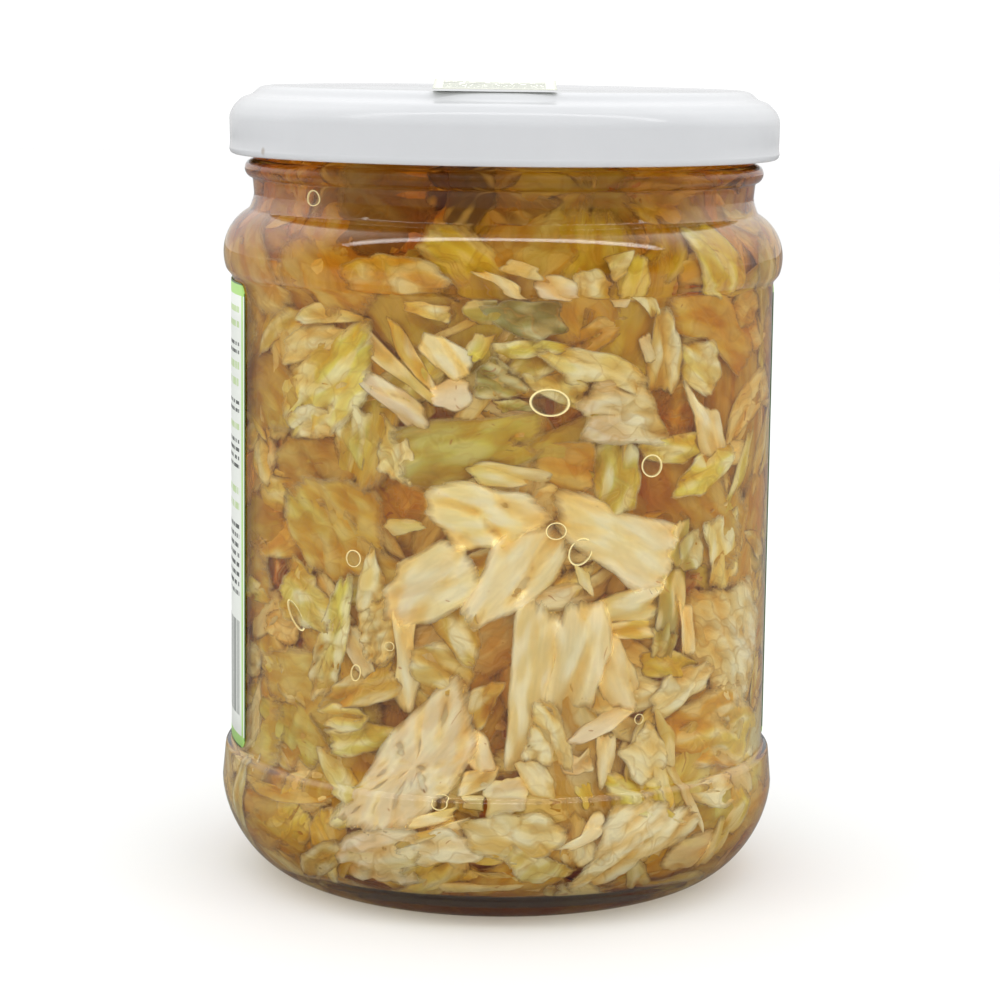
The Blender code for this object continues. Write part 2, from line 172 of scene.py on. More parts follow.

# The pieces that show at the front, the foremost first: form, tone, depth from the glass and corners.
# The corners are placed from the photo, in millimetres across from the middle and up from the table.
# The main shapes are read off the photo roughly, and about 30 smaller ones between them are estimates.
FRONT_PIECES = (
    # Foot and lower panel
    ("slab", "flat", 0.1, ((-7.5, 37.5), (-5, 33), (-4.5, 29), (-7, 23), (-10, 20), (-16, 17.5),
      (-21, 20), (-15, 29.5))),
    ("leaf", "cream", 0.2, ((13.5, 8.5), (15, 14.5), (16.5, 19), (20, 20), (26.5, 19), (27, 17),
      (22.5, 13), (18, 9.5))),
    ("rib", "cream", 0.2, ((8.5, 14), (11.5, 15), (13.5, 19), (15, 19), (14.5, 16), (12, 14.5))),
    ("leaf", "pale", 0.3, ((-4, 17), (-1, 18.5), (5, 18.5), (8.5, 16.5), (8, 14), (3, 12),
      (-1, 13))),
    ("dice", "cream", 0.2, ((-1.5, 23), (3.5, 24), (4, 20), (-0.5, 19))),
    ("dice", "cream", 0.3, ((3, 26), (6.5, 26), (8, 24), (8, 21), (5, 22.5))),
    ("rib", "cream", 0.4, ((-4.5, 30), (-3, 31), (-1.5, 30), (-0.5, 26), (-3, 25.5), (-5, 27.5))),
    ("rib", "cream", 0.3, ((10.5, 30), (13, 32.5), (17, 35), (19.5, 34.5), (16.5, 32), (13, 30))),
    ("leaf", "cream", 0.5, ((17.5, 28.5), (20, 29.5), (22, 32.5), (24, 29), (24, 26), (21, 24.5))),
    ("rib", "pale", 0.6, ((14.5, 30), (17, 30.5), (17, 28), (16.5, 24), (15, 24))),
    ("leaf", "pale", 0.5, ((6, 35), (8, 35), (10, 30.5), (11, 26.5), (4, 27.5), (5, 31))),
    ("leaf", "pale", 0.3, ((-22, 13), (-20, 15.5), (-13, 16), (-12.5, 13), (-12, 9), (-19, 9),
      (-23, 10.5))),
    ("leaf", "cream", 0.4, ((-13, 13.5), (-8, 16), (-4.5, 15.5), (-2, 13), (-6, 11.5), (-11, 11))),
    ("rib", "pale", 0.4, ((-20, 17), (-15, 16), (-7, 18), (-7, 19.5), (-15, 17.5))),
    ("rib", "golden", 0.5, ((-13, 14), (-5, 17), (-5, 18), (-13, 15.5))),
    ("rib", "pale", 0.6, ((-4.5, 25), (0, 25.5), (-1, 23), (-5, 21.5))),
    ("rib", "pale", 0.6, ((-5, 21.5), (-2, 21.5), (-2, 19.5), (-4.5, 20))),
    ("leaf", "pale", 0.7, ((9.5, 28), (12, 27.5), (13.5, 29), (13.5, 25.5), (10, 25))),
    ("rib", "golden", 0.7, ((11, 24), (13.5, 23.5), (14, 21), (12.5, 20))),
    ("shred", "pale", 0.4, ((23, 34.5), (24, 33.5), (25.5, 31), (25.5, 27), (24.5, 27))),
    ("shred", "cream", 0.4, ((24.5, 27), (25.5, 27), (28, 20.5), (28.5, 18.5), (27, 20))),
    ("shred", "pale", 0.4, ((23, 26), (24.5, 26), (25, 20.5), (23, 20.5))),
    ("leaf", "golden", 0.8, ((16.5, 24.5), (21, 24), (23, 25), (23, 20), (26, 18.5), (17, 20))),
    ("leaf", "golden", 0.9, ((-3.5, 37.5), (0.5, 38), (-0.5, 35.5), (-2.5, 32), (-4.5, 33),
      (-5, 35))),
    ("leaf", "pale", 0.5, ((-25.5, 28), (-24, 28.5), (-20, 23), (-21, 20.5), (-23, 22))),
    ("leaf", "yellow", 0.7, ((-25, 34), (-23.5, 35), (-20, 34), (-19.5, 32), (-22, 31),
      (-24.5, 32))),
    ("leaf", "yellow", 0.8, ((-24, 31), (-20, 32), (-14, 31), (-16, 29), (-21, 27.5), (-23, 28))),
    ("film", "pale", 0.9, ((-34, 36), (-28, 34), (-25, 29), (-27, 26), (-32, 31))),
    ("film", "golden", 0.6, ((-34, 24), (-30, 22.5), (-24, 22), (-25, 20.5), (-30, 20.5),
      (-33, 22))),
    # Middle of the panel
    ("rib", "cream", 0.2, ((3, 49.5), (6, 49), (8, 46), (7.5, 41), (6.5, 36), (5, 30),
      (1.5, 28), (2, 37))),
    ("slab", "cream", 0.3, ((8, 46), (10.5, 49.5), (15, 48.5), (15.5, 44.5), (14.5, 39),
      (13.5, 36), (8, 35.5), (7.5, 41))),
    ("rib", "cream", 0.4, ((14.5, 44.5), (17.5, 44.5), (20, 39), (20, 35.5), (16.5, 36),
      (14.5, 39.5))),
    ("slab", "cream", 0.2, ((9.5, 66), (13.5, 66), (18, 63), (24, 62.5), (24, 60.5),
      (22.5, 54.5), (19, 53.5), (11, 60))),
    ("slab", "cream", 0.3, ((0, 59), (5, 60.5), (9, 60), (8, 54.5), (3, 50.5), (-1, 48.5),
      (-3, 46.5), (-3.5, 51))),
    ("slab", "cream", 0.4, ((-10, 63.5), (-8.5, 66), (-5.5, 67.5), (3, 66.5), (5, 63), (1, 59),
      (-5, 59.5))),
    ("slab", "cream", 0.2, ((-9, 58.5), (-13, 56), (-15.5, 52), (-15.5, 48), (-11, 48),
      (-5, 50.5), (-3.5, 53), (-6, 57.5))),
    ("rib", "cream", 0.3, ((-15.5, 49), (-12, 49), (-12.5, 44), (-11.5, 39), (-13, 35.5),
      (-15, 37), (-14.5, 43))),
    ("slab", "cream", 0.5, ((11, 48), (15, 51), (19.5, 52.5), (22.5, 53), (22, 50.5),
      (21, 48.5), (15, 48))),
    ("rib", "cream", 0.4, ((11, 56), (13, 55), (13.5, 52), (11.5, 53.5))),
    ("leaf", "pale", 0.4, ((-24, 49.5), (-22.5, 52), (-21, 52.5), (-22, 44), (-23.5, 38),
      (-26, 37), (-26.5, 42))),
    ("leaf", "cream", 0.3, ((-18, 58), (-20, 53), (-20, 49.5), (-16.5, 50.5), (-16.5, 53))),
    ("crinkle", "pale", 0.6, ((-19.5, 49.5), (-16, 50.5), (-15.5, 46), (-15.5, 43), (-18, 41),
      (-19.5, 43))),
    ("rib", "cream", 0.3, ((-22, 46), (-20, 46), (-19.5, 43.5), (-18, 40.5), (-19.5, 39.5),
      (-21.5, 42.5))),
    ("leaf", "pale", 0.5, ((-29, 56), (-26.5, 53.5), (-24, 49.5), (-25.5, 47), (-29, 47.5),
      (-31, 50))),
    ("leaf", "yellow", 0.8, ((-20, 40), (-16, 41), (-15, 37), (-19, 35), (-25, 35), (-23, 38))),
    ("leaf", "golden", 0.7, ((-10, 49), (-4, 50), (-3, 45), (-4, 41), (-6, 43), (-9, 46.5))),
    ("leaf", "golden", 0.9, ((-12, 43), (-6, 44), (-4, 40), (-5, 37), (-10, 37), (-12, 40))),
    ("leaf", "golden", 0.9, ((-4, 57.5), (-0.5, 58.5), (0, 57), (-3, 54), (-7, 54.5))),
    ("rib", "golden", 0.7, ((15, 47.5), (20.5, 48), (22, 46), (20, 45.5), (15.5, 45.5))),
    ("leaf", "yellow", 1.2, ((21.5, 43), (25, 43.5), (28, 42), (26.5, 40), (22, 40))),
    ("leaf", "cream", 0.4, ((24.5, 39.5), (27.5, 41), (30, 41), (29.5, 38.5), (26.5, 36),
      (23.5, 33.5), (22.5, 36))),
    ("leaf", "yellow", 0.7, ((26, 33), (30, 36), (34, 38), (36, 34), (35, 28), (30, 27),
      (25.5, 29))),
    ("rib", "cream", 0.5, ((26, 50), (27.5, 50), (28, 44), (26.5, 43.5))),
    ("crinkle", "cream", 0.5, ((27.5, 50), (31, 52), (34.5, 52.5), (36, 48), (35, 40), (32, 35),
      (30, 42), (28.5, 43))),
    ("rib", "stem", 0.5, ((23.5, 55), (27, 55), (26, 47), (23, 47.5))),
    ("leaf", "moss", 0.5, ((26, 60), (28, 61.5), (29, 57), (27.5, 56), (26, 56.5))),
    ("rib", "moss", 0.6, ((24.5, 62), (27, 62.5), (26, 57), (24, 57))),
    ("crinkle", "olive", 0.8, ((22.5, 46.5), (24.5, 48), (25.5, 46), (25, 43), (22.5, 43))),
    ("leaf", "pale", 0.6, ((29.5, 62), (33, 64), (34, 60), (33, 55), (30.5, 54))),
    ("film", "golden", 0.7, ((-29, 67), (-24, 67.5), (-19, 66), (-18, 58), (-20, 55),
      (-24, 54.5), (-27, 57), (-29.5, 62))),
    ("film", "golden", 1.3, ((-30, 74), (-25, 74), (-22.5, 70), (-22, 66), (-28, 65), (-31, 69))),
    # Upper panel
    ("rib", "cream", 0.5, ((-4, 70), (-1.5, 71), (6.5, 70), (6, 68.5), (2, 67.8), (-2, 68))),
    ("rib", "pale", 0.5, ((-16.5, 61.5), (-15.5, 62.5), (-12.5, 62.5), (-11, 61.5), (-15, 60.3))),
    ("slab", "cream", 0.3, ((-10, 81.5), (-7.5, 83), (-5, 82.5), (-4.5, 80), (-6.5, 79),
      (-9, 79.5))),
    ("rib", "cream", 0.4, ((-19.5, 82), (-17.5, 83), (-14, 81.5), (-11.5, 79), (-11.5, 76),
      (-13, 76), (-15, 78))),
    ("leaf", "cream", 0.4, ((-30, 77.5), (-28, 75), (-26, 74.5), (-24, 75), (-24, 78), (-27, 79))),
    ("leaf", "pale", 0.6, ((-31, 83), (-26, 87), (-21.5, 90.5), (-20, 90), (-20, 80), (-24, 76),
      (-29, 76.5))),
    ("rib", "pale", 0.6, ((-20.5, 90), (-18.5, 89.5), (-10.5, 81.5), (-11.5, 81), (-19.5, 87))),
    ("rib", "golden", 0.6, ((-16, 91), (-14.5, 90.5), (-10, 83), (-10.5, 82), (-15, 87))),
    ("slab", "cream", 0.4, ((-10.5, 89.5), (-8.5, 89), (-5, 87), (-5, 84), (-7, 83.5),
      (-11.5, 87.5))),
    ("leaf", "yellow", 0.7, ((-5, 87.5), (-3.5, 89.5), (-1, 89.5), (-2, 86.5), (-4, 86))),
    ("crinkle", "cream", 0.5, ((-16, 76.5), (-13.5, 73.5), (-12, 70), (-13, 68), (-17, 70.5),
      (-17, 73))),
    ("leaf", "moss", 0.7, ((-23.5, 78.5), (-20.5, 79), (-18, 76), (-18, 73), (-21.5, 68),
      (-22.5, 68), (-23.5, 74.5))),
    ("film", "yellow", 0.8, ((-14, 75), (-9, 76.5), (-2, 77), (4.5, 77.5), (4, 72), (-1, 70),
      (-8, 67.5), (-12, 68))),
    ("film", "golden", 1.2, ((4, 71), (8, 73.5), (13, 74), (13, 68), (10, 67), (6, 70))),
    ("rib", "cream", 0.5, ((26, 82.5), (28.5, 79), (30.5, 79), (31.5, 74), (28.5, 73), (28, 76))),
    ("leaf", "pale", 0.5, ((28, 72.5), (32, 73.3), (32.3, 71), (30, 68), (25.5, 66.5),
      (26.5, 69.5))),
    ("leaf", "cream", 0.6, ((12, 79.5), (14.5, 82.5), (20, 82.5), (22, 78), (24, 76), (21, 75),
      (12, 75), (13, 78))),
    ("leaf", "yellow", 0.9, ((20, 74), (24, 75), (27.5, 75.5), (28, 73), (26, 71.5), (22, 72))),
    ("leaf", "yellow", 0.7, ((14, 73), (18.5, 74), (19.5, 70), (19, 66), (16, 64), (14, 66))),
    ("leaf", "cream", 0.6, ((7, 87), (12, 87.5), (16, 87), (19.5, 84.5), (19, 82), (14, 83.5),
      (10, 83))),
    ("leaf", "pale", 0.9, ((4, 83.5), (9, 84), (12, 82), (11, 79.5), (5, 81.5))),
    ("crinkle", "olive", 0.7, ((-2, 93.5), (2, 94.5), (7.5, 94), (8, 91), (5, 89), (1, 90.5))),
    ("leaf", "moss", 0.8, ((-5.5, 93), (-4, 94.5), (-1, 94.5), (0, 92), (-3, 91))),
    ("leaf", "yellow", 0.8, ((-1, 88.5), (4, 89), (9, 88), (8, 87), (1, 86.5))),
    ("crinkle", "moss", 0.7, ((-3.5, 84), (-1, 86), (2, 84), (3, 81.5), (0, 80.5), (-3, 81))),
    ("crinkle", "olive", 0.8, ((-0.5, 80), (3, 80.5), (4, 79), (0.5, 78.5))),
    ("rib", "cream", 0.6, ((19.5, 89), (21, 90), (21.5, 88), (22, 86.5), (20.5, 86.5))),
    ("leaf", "golden", 0.8, ((22, 93), (24, 92), (25, 87), (25, 83), (22, 82.5), (21, 85))),
    ("leaf", "pale", 0.6, ((26, 88), (29.5, 89), (30.5, 84), (29, 82), (26, 83.5))),
    ("leaf", "golden", 0.9, ((-30, 89), (-27, 91), (-23.5, 90), (-24, 87.5), (-26.5, 86.5),
      (-30, 86))),
    ("leaf", "pale", 0.8, ((-28.5, 92), (-26, 94), (-22, 93), (-20, 92), (-27.5, 91))),
    # Shoulder
    ("leaf", "pale", 0.8, ((-13.5, 94), (-11, 94), (-8, 93.5), (-8, 91.5), (-13.5, 93))),
    ("rib", "cream", 0.7, ((-4, 98.5), (-1.5, 98.5), (1.5, 97.5), (3, 95.5), (1.5, 95.5),
      (-1, 97.3))),
    ("leaf", "pale", 0.8, ((-0.5, 99), (1.5, 100.3), (4.5, 99.5), (5, 98), (3, 98.3))),
    ("slab", "cream", 0.7, ((4.5, 97.5), (6.5, 98.2), (9.5, 97.5), (10.5, 96), (9.5, 95),
      (6, 95.7))),
    ("leaf", "golden", 0.9, ((10, 98.5), (13, 99), (15, 97.5), (14.5, 95.5), (11, 96))),
    ("leaf", "pale", 0.9, ((14.5, 101), (18, 101.5), (17, 99), (15.5, 98))),
    ("rib", "cream", 0.8, ((15.5, 95), (18, 95.3), (17.5, 94), (16, 94))),
    ("leaf", "pale", 0.8, ((18.5, 95.7), (21, 95.8), (22, 93.5), (21.5, 92.5), (20, 94))),
    ("leaf", "yellow", 1.2, ((26.5, 104), (31, 104), (33, 99), (31, 96), (28.5, 97))),
    ("film", "golden", 1.3, ((25, 95), (31, 95.5), (35, 92), (33, 85), (29, 90), (25, 90))),
    ("leaf", "golden", 1.2, ((-22, 99), (-17, 101), (-11, 99.5), (-9, 97), (-15, 96), (-20, 96.5))),
)

# The share of each form and tone among the pieces that fill the rest of the jar.
FILLING = (
    ("rib", "cream", 0.04),
    ("slab", "cream", 0.02),
    ("rib", "pale", 0.04),
    ("slab", "pale", 0.02),
    ("leaf", "cream", 0.12),
    ("leaf", "pale", 0.20),
    ("leaf", "yellow", 0.09),
    ("leaf", "golden", 0.12),
    ("film", "golden", 0.14),
    ("film", "yellow", 0.04),
    ("shred", "pale", 0.07),
    ("shred", "golden", 0.03),
    ("crinkle", "moss", 0.02),
    ("crinkle", "pale", 0.03),
    ("crinkle", "olive", 0.01),
)

# Where one tone prevails at the front: millimetres across, up and in reach, the tone and its share.
# The first three have their middle far above the jar, so that only the neck lies in their reach.
PATCHES = (
    # Painted shade: the first tone deepens the neck's colour, where the lid's shadow falls.
    (0, 206, 102, "dark", 0.30),
    (0, 206, 103, "stem", 0.4),
    (0, 206, 103, "moss", 0.4),
    (-20, 104, 16, "yellow", 0.3),
    (-5, 101, 16, "pale", 0.5),
    (22, 102, 18, "yellow", 0.5),
    (-22, 101, 22, "golden", 0.45),
    (18, 101, 22, "golden", 0.45),
    (2, 88, 9, "moss", 0.6),
    (-9, 71, 10, "yellow", 0.6),
    (20, 68, 9, "yellow", 0.5),
    (-25, 62, 9, "golden", 0.6),
    (5, 57, 15, "cream", 0.75),
    (12, 44, 12, "cream", 0.6),
    (-15, 52, 9, "pale", 0.5),
    (25, 54, 6, "moss", 0.4),
    (30, 42, 9, "pale", 0.6),
    (0, 24, 13, "pale", 0.5),
    (14, 17, 12, "cream", 0.5),
    (-20, 14, 13, "golden", 0.4),
)

# The tones that a piece of each tone can pass into at its other end.
NEXT_TONES = {
    "cream": ("cream", "cream", "pale"),
    "flat": ("flat",),
    "pale": ("cream", "yellow", "pale"),
    "yellow": ("pale", "moss", "golden"),
    "golden": ("golden", "pale", "yellow"),
    "moss": ("yellow", "olive", "pale"),
    "olive": ("olive", "moss"),
    "stem": ("stem", "moss"),
    "dark": ("dark",),
}

# How far the bubbles reach in from the glass that flattens them.
BUBBLE_DEPTH = 0.9 * MM

# Deep red-brown gaps between the front pieces: millimetres across and up, and their reach.
GAPS = (
    (-15, 64.3, 3), (-8, 60, 1.5), (-28.5, 59, 2), (23.5, 79.5, 3), (22.5, 66.5, 2.5), (17, 53.5, 1.5),
    (21.5, 52, 1.2), (19.5, 44, 1.3), (0.5, 45, 1.8), (0, 40, 2), (0, 35, 1.5), (1, 31.5, 1.5),
    (-20, 26.5, 1.2),
    (-15, 33.5, 1.8), (-9, 76.8, 1.2), (9, 77, 2), (-28, 94, 1.5), (-23.5, 98, 2), (-20, 47.5, 1.2),
)

# Air bubbles caught at the front wall: millimetres across and up, length, width and turn from level.
BUBBLES = (
    (6.9, 80.0, 6.0, 4.1, -5),
    (21.5, 71.0, 3.7, 3.4, -20),
    (-20.8, 56.8, 2.6, 2.6, 0),
    (-8.0, 20.6, 2.7, 2.4, 20),
    (20.4, 33.4, 1.6, 1.6, 0),
    (-20.4, 39.8, 2.6, 1.7, 80),
    (-28.8, 48.3, 5.6, 2.4, -50),
    (8.1, 61.2, 3.1, 2.6, 0),
    (11.6, 58.2, 4.4, 3.4, 60),
    (-29.0, 108.8, 2.9, 2.9, 0),
    (-15.6, 43.8, 1.5, 1.4, 0),
)

DIRECTIONS = np.arange(96) * math.tau / 96


def colour_setting(name, description, default):
    return FloatVectorProperty(name=name, description=description, subtype="COLOR", size=3, default=default)


def length_setting(name, description, default, lowest=0.0):
    return FloatProperty(name=name, description=description, default=default, unit="LENGTH", min=lowest)


def arc(centre, radius, start, end, steps):
    """Points of an arc about (radius, height), from start to end in degrees, 0 pointing outwards."""
    points = []
    for i in range(steps + 1):
        angle = math.radians(start + (end - start) * i / steps)
        points.append((centre[0] + radius * math.cos(angle), centre[1] + radius * math.sin(angle)))
    return points


def heel(widest, low_radius, low_height, steps, fullness=HEEL_FULLNESS):
    """The round from the widest point of the foot's bulge down to low_radius at low_height."""
    points = []
    for i in range(steps + 1):
        drop = math.sin(math.radians(90 * i / steps))
        out = (1 - drop**fullness) ** (1 / fullness)
        radius = low_radius + (widest - low_radius) * out
        points.append((radius, BULGE_HEIGHT - (BULGE_HEIGHT - low_height) * drop))
    return points


def softened(outline, cut, steps=4):
    """The outline with each corner rounded off, from cut before it to cut after it."""
    points = [outline[0]]
    for before, corner, after in zip(outline, outline[1:], outline[2:]):
        before, corner, after = Vector(before), Vector(corner), Vector(after)
        start = corner + (before - corner) * min(0.45, cut / max((before - corner).length, 1e-9))
        end = corner + (after - corner) * min(0.45, cut / max((after - corner).length, 1e-9))
        for i in range(steps + 1):
            t = i / steps
            points.append(tuple(start * (1 - t) ** 2 + corner * 2 * t * (1 - t) + end * t**2))
    points.append(outline[-1])
    return points


def cavity_side(steps=22):
    """The glass's inner side, from the edge of the floor up to the mouth."""
    floor_round = heel(CAVITY_BULGE_RADIUS, FLOOR_RADIUS, FLOOR_HEIGHT, steps)
    floor_round.reverse()
    inner_panel = BODY_RADIUS - WALL
    upper = [floor_round[-1], (CAVITY_BULGE_RADIUS - 0.3 * MM, PANEL_BOTTOM - 3 * MM)]
    upper += [(inner_panel, PANEL_BOTTOM + 2 * MM), (inner_panel, PANEL_TOP - 2 * MM)]
    upper += [(inner_panel + 0.8 * MM, SHOULDER_HEIGHT - 1 * MM)]
    upper += arc((SHOULDER_RADIUS - 3 * MM - 6 * MM, SHOULDER_HEIGHT), 6 * MM, 10, 58, steps // 3)
    upper += [(MOUTH_RADIUS, NECK_HEIGHT - 0.6 * MM), (MOUTH_RADIUS, RIM_HEIGHT - RIM_ROUND)]
    return floor_round[:-1] + softened(upper, 1.5 * MM)


def shell_outline(steps=28):
    """The glass's outer side, from the rim down to the push-up under the foot."""
    rim = arc((FINISH_RADIUS - RIM_ROUND, RIM_HEIGHT - RIM_ROUND), RIM_ROUND, 90, 0, 5)
    bead = arc((NECK_RADIUS, BEAD_HEIGHT), BEAD_ROUND, 80, -80, 10)
    shoulder_centre = (SHOULDER_RADIUS - SHOULDER_ROUND, SHOULDER_HEIGHT)
    shoulder = arc(shoulder_centre, SHOULDER_ROUND, 62, -20, 16)
    upper = [(FINISH_RADIUS, FINISH_BOTTOM), (NECK_RADIUS, FINISH_BOTTOM - 0.5 * MM)]
    upper += bead
    upper += [(NECK_RADIUS, NECK_HEIGHT)]
    upper += shoulder
    upper += [(BODY_RADIUS, PANEL_TOP), (BODY_RADIUS, PANEL_BOTTOM)]
    upper += [(BULGE_RADIUS - 0.5 * MM, PANEL_BOTTOM - 0.7 * MM)]
    foot_round = heel(BULGE_RADIUS, FOOT_RADIUS, 0.2 * MM, steps)
    upper += foot_round[:1]
    points = [(MOUTH_RADIUS + RIM_ROUND, RIM_HEIGHT)]
    points += rim
    points += softened(upper, 0.5 * MM)
    points += foot_round[1:]
    points += [(FOOT_RADIUS - 0.7 * MM, 0), (FOOT_INNER_RADIUS + 0.6 * MM, 0)]
    points += [(FOOT_INNER_RADIUS - 0.4 * MM, 0.15 * MM), (FOOT_INNER_RADIUS - 2.6 * MM, 1.0 * MM)]
    points += [(FOOT_INNER_RADIUS * 0.68, PUSH_UP * 0.85), (0, PUSH_UP)]
    return points


def lid_outline():
    """The lid's section: panel, rim, ledge, skirt and the curl at its lower edge."""
    inner_step = LID_STEP_RADIUS - LID_WALL
    curl_centre = (LID_RADIUS - LID_CURL_ROUND, LID_BOTTOM + LID_CURL_ROUND)
    top = [(0, LID_TOP - LID_DIP), (LID_RIM_RADIUS - 4 * MM, LID_TOP - 0.2 * MM)]
    top += [(LID_RIM_RADIUS - 0.8 * MM, LID_TOP), (LID_RIM_RADIUS + 0.4 * MM, LID_TOP - 0.25 * MM)]
    top += [(LID_STEP_RADIUS, LID_LEDGE_HEIGHT + 0.4 * MM), (LID_LEDGE_RADIUS, LID_LEDGE_HEIGHT)]
    top += [(LID_RADIUS - 0.7 * MM, LID_SKIRT_TOP + 1.4 * MM), (LID_RADIUS, LID_SKIRT_TOP)]
    top += [(LID_RADIUS - 0.08 * MM, LID_BOTTOM + 2.6 * LID_CURL_ROUND)]
    top += arc(curl_centre, LID_CURL_ROUND, 20, -180, 12)
    inside = [(LID_RADIUS - LID_WALL, LID_BOTTOM + 2.3 * LID_CURL_ROUND)]
    inside += [(LID_RADIUS - LID_WALL, LID_SKIRT_TOP - 0.2 * MM)]
    inside += [(LID_LEDGE_RADIUS - 0.2 * MM, LID_LEDGE_HEIGHT - LID_WALL)]
    inside += [(inner_step, LID_LEDGE_HEIGHT - LID_WALL + 0.4 * MM)]
    inside += [(inner_step - 1.0 * MM, LID_TOP - LID_WALL - 0.1 * MM)]
    inside += [(LID_RIM_RADIUS - 4 * MM, LID_TOP - LID_WALL - 0.2 * MM), (0, LID_TOP - LID_WALL - LID_DIP)]
    return softened(top, 0.6 * MM) + inside


def turned_mesh(name, outline, steps):
    """A body of revolution whose outline starts and ends on the axis and runs down its outer side."""
    turns = np.arange(steps) * math.tau / steps
    points = []
    rings = []
    for radius, height in outline:
        count = 1 if radius < 1e-7 else steps
        rings.append((len(points), count))
        for turn in turns[:count]:
            points.append((radius * math.sin(turn), -radius * math.cos(turn), height))
    faces = []
    for (first, first_count), (second, second_count) in zip(rings, rings[1:]):
        for k in range(steps):
            following = (k + 1) % steps
            corners = [first + k % first_count, second + k % second_count]
            corners += [second + following % second_count, first + following % first_count]
            face = [c for i, c in enumerate(corners) if c not in corners[:i]]
            if len(face) > 2:
                faces.append(face)
    mesh = bpy.data.meshes.new(name)
    mesh.from_pydata(points, [], faces)
    mesh.shade_smooth()
    return mesh


def triangle_mesh(name, points, triangles, attributes):
    """A mesh from arrays, with one array of values per point for each named attribute."""
    mesh = bpy.data.meshes.new(name)
    mesh.vertices.add(len(points))
    mesh.vertices.foreach_set("co", points.astype(np.float32).ravel())
    mesh.loops.add(triangles.size)
    mesh.loops.foreach_set("vertex_index", triangles.astype(np.int32).ravel())
    mesh.polygons.add(len(triangles))
    mesh.polygons.foreach_set("loop_start", np.arange(0, triangles.size, 3, dtype=np.int32))
    mesh.update(calc_edges=True)
    mesh.validate()
    for label, (kind, field, values) in attributes.items():
        layer = mesh.attributes.new(label, kind, "POINT")
        layer.data.foreach_set(field, values.astype(np.float32).ravel())
    mesh.shade_smooth()
    return mesh


def add_piece(name, mesh, material, slot, *replaced):
    """An object that rides on the jar and stands for the solids it replaces; its slot is not used."""
    mesh.materials.clear()
    mesh.materials.append(material)
    piece = bpy.data.objects.new(name, mesh)
    bpy.context.scene.collection.objects.link(piece)
    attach(piece, "root")
    if replaced:
        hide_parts(*replaced)
    return piece


def node(tree, kind, **settings):
    made = tree.nodes.new(kind)
    for name, value in settings.items():
        setattr(made, name, value)
    return made


def feed(tree, socket, value):
    """Links a socket to another, or sets it."""
    if isinstance(value, bpy.types.NodeSocket):
        tree.links.new(value, socket)
    else:
        socket.default_value = value


def maths(tree, operation, *values, clamp=False):
    made = node(tree, "ShaderNodeMath", operation=operation, use_clamp=clamp)
    for socket, value in zip(made.inputs, values):
        feed(tree, socket, value)
    return made.outputs["Value"]


def product(tree, first, *others, clamp=False):
    for other in others:
        first = maths(tree, "MULTIPLY", first, other, clamp=clamp)
    return first


def between(tree, value, low, high):
    """1 where the value lies between low and high."""
    return product(tree, maths(tree, "GREATER_THAN", value, low), maths(tree, "LESS_THAN", value, high))


def centred(tree, value):
    return maths(tree, "SUBTRACT", value, 0.5)


def spread(tree, value, low, high, out_low=0.0, out_high=1.0):
    """Value from low..high to out_low..out_high, clamped."""
    made = node(tree, "ShaderNodeMapRange")
    for name, given in (("Value", value), ("From Min", low), ("From Max", high)):
        feed(tree, made.inputs[name], given)
    feed(tree, made.inputs["To Min"], out_low)
    feed(tree, made.inputs["To Max"], out_high)
    return made.outputs["Result"]


def mixed(tree, share, first, second, blend="MIX"):
    made = node(tree, "ShaderNodeMix", data_type="RGBA", blend_type=blend)
    feed(tree, made.inputs["Factor"], share)
    feed(tree, made.inputs[6], first)
    feed(tree, made.inputs[7], second)
    return made.outputs[2]


def either_value(tree, share, first, second):
    made = node(tree, "ShaderNodeMix", data_type="FLOAT")
    feed(tree, made.inputs[0], share)
    feed(tree, made.inputs[2], first)
    feed(tree, made.inputs[3], second)
    return made.outputs[0]


def scaled(tree, vector, x, y, z):
    made = node(tree, "ShaderNodeVectorMath", operation="MULTIPLY")
    feed(tree, made.inputs[0], vector)
    feed(tree, made.inputs[1], (x, y, z))
    return made.outputs["Vector"]


def noise(tree, vector, scale, detail=2.0, roughness=0.5, flat=False):
    made = node(tree, "ShaderNodeTexNoise", noise_dimensions="2D" if flat else "3D")
    feed(tree, made.inputs["Vector"], vector)
    feed(tree, made.inputs["Scale"], scale)
    feed(tree, made.inputs["Detail"], detail)
    feed(tree, made.inputs["Roughness"], roughness)
    return made.outputs["Fac"]


def new_group(name, inputs, outputs):
    """An empty shader group with named sockets: inputs are (name, default), outputs (name, socket type)."""
    tree = bpy.data.node_groups.new(name, "ShaderNodeTree")
    for label, default in inputs:
        kind = "NodeSocketFloat" if isinstance(default, float) else "NodeSocketColor"
        socket = tree.interface.new_socket(name=label, in_out="INPUT", socket_type=kind)
        socket.default_value = default
    for label, kind in outputs:
        tree.interface.new_socket(name=label, in_out="OUTPUT", socket_type=kind)
    return tree, tree.nodes.new("NodeGroupInput").outputs, tree.nodes.new("NodeGroupOutput").inputs


def placed_group(tree, group, **values):
    made = node(tree, "ShaderNodeGroup", node_tree=group)
    for label, value in values.items():
        feed(tree, made.inputs[label.replace("_", " ")], value)
    return made.outputs


def new_material(name, colour, roughness, metallic=0.0):
    """A material and its Principled shader with the constant values set on the shader's own sockets."""
    material = bpy.data.materials.new(name)
    material.use_nodes = True
    shader = material.node_tree.nodes["Principled BSDF"]
    shader.inputs["Base Color"].default_value = (*colour, 1)
    shader.inputs["Roughness"].default_value = roughness
    shader.inputs["Metallic"].default_value = metallic
    return material, material.node_tree, shader


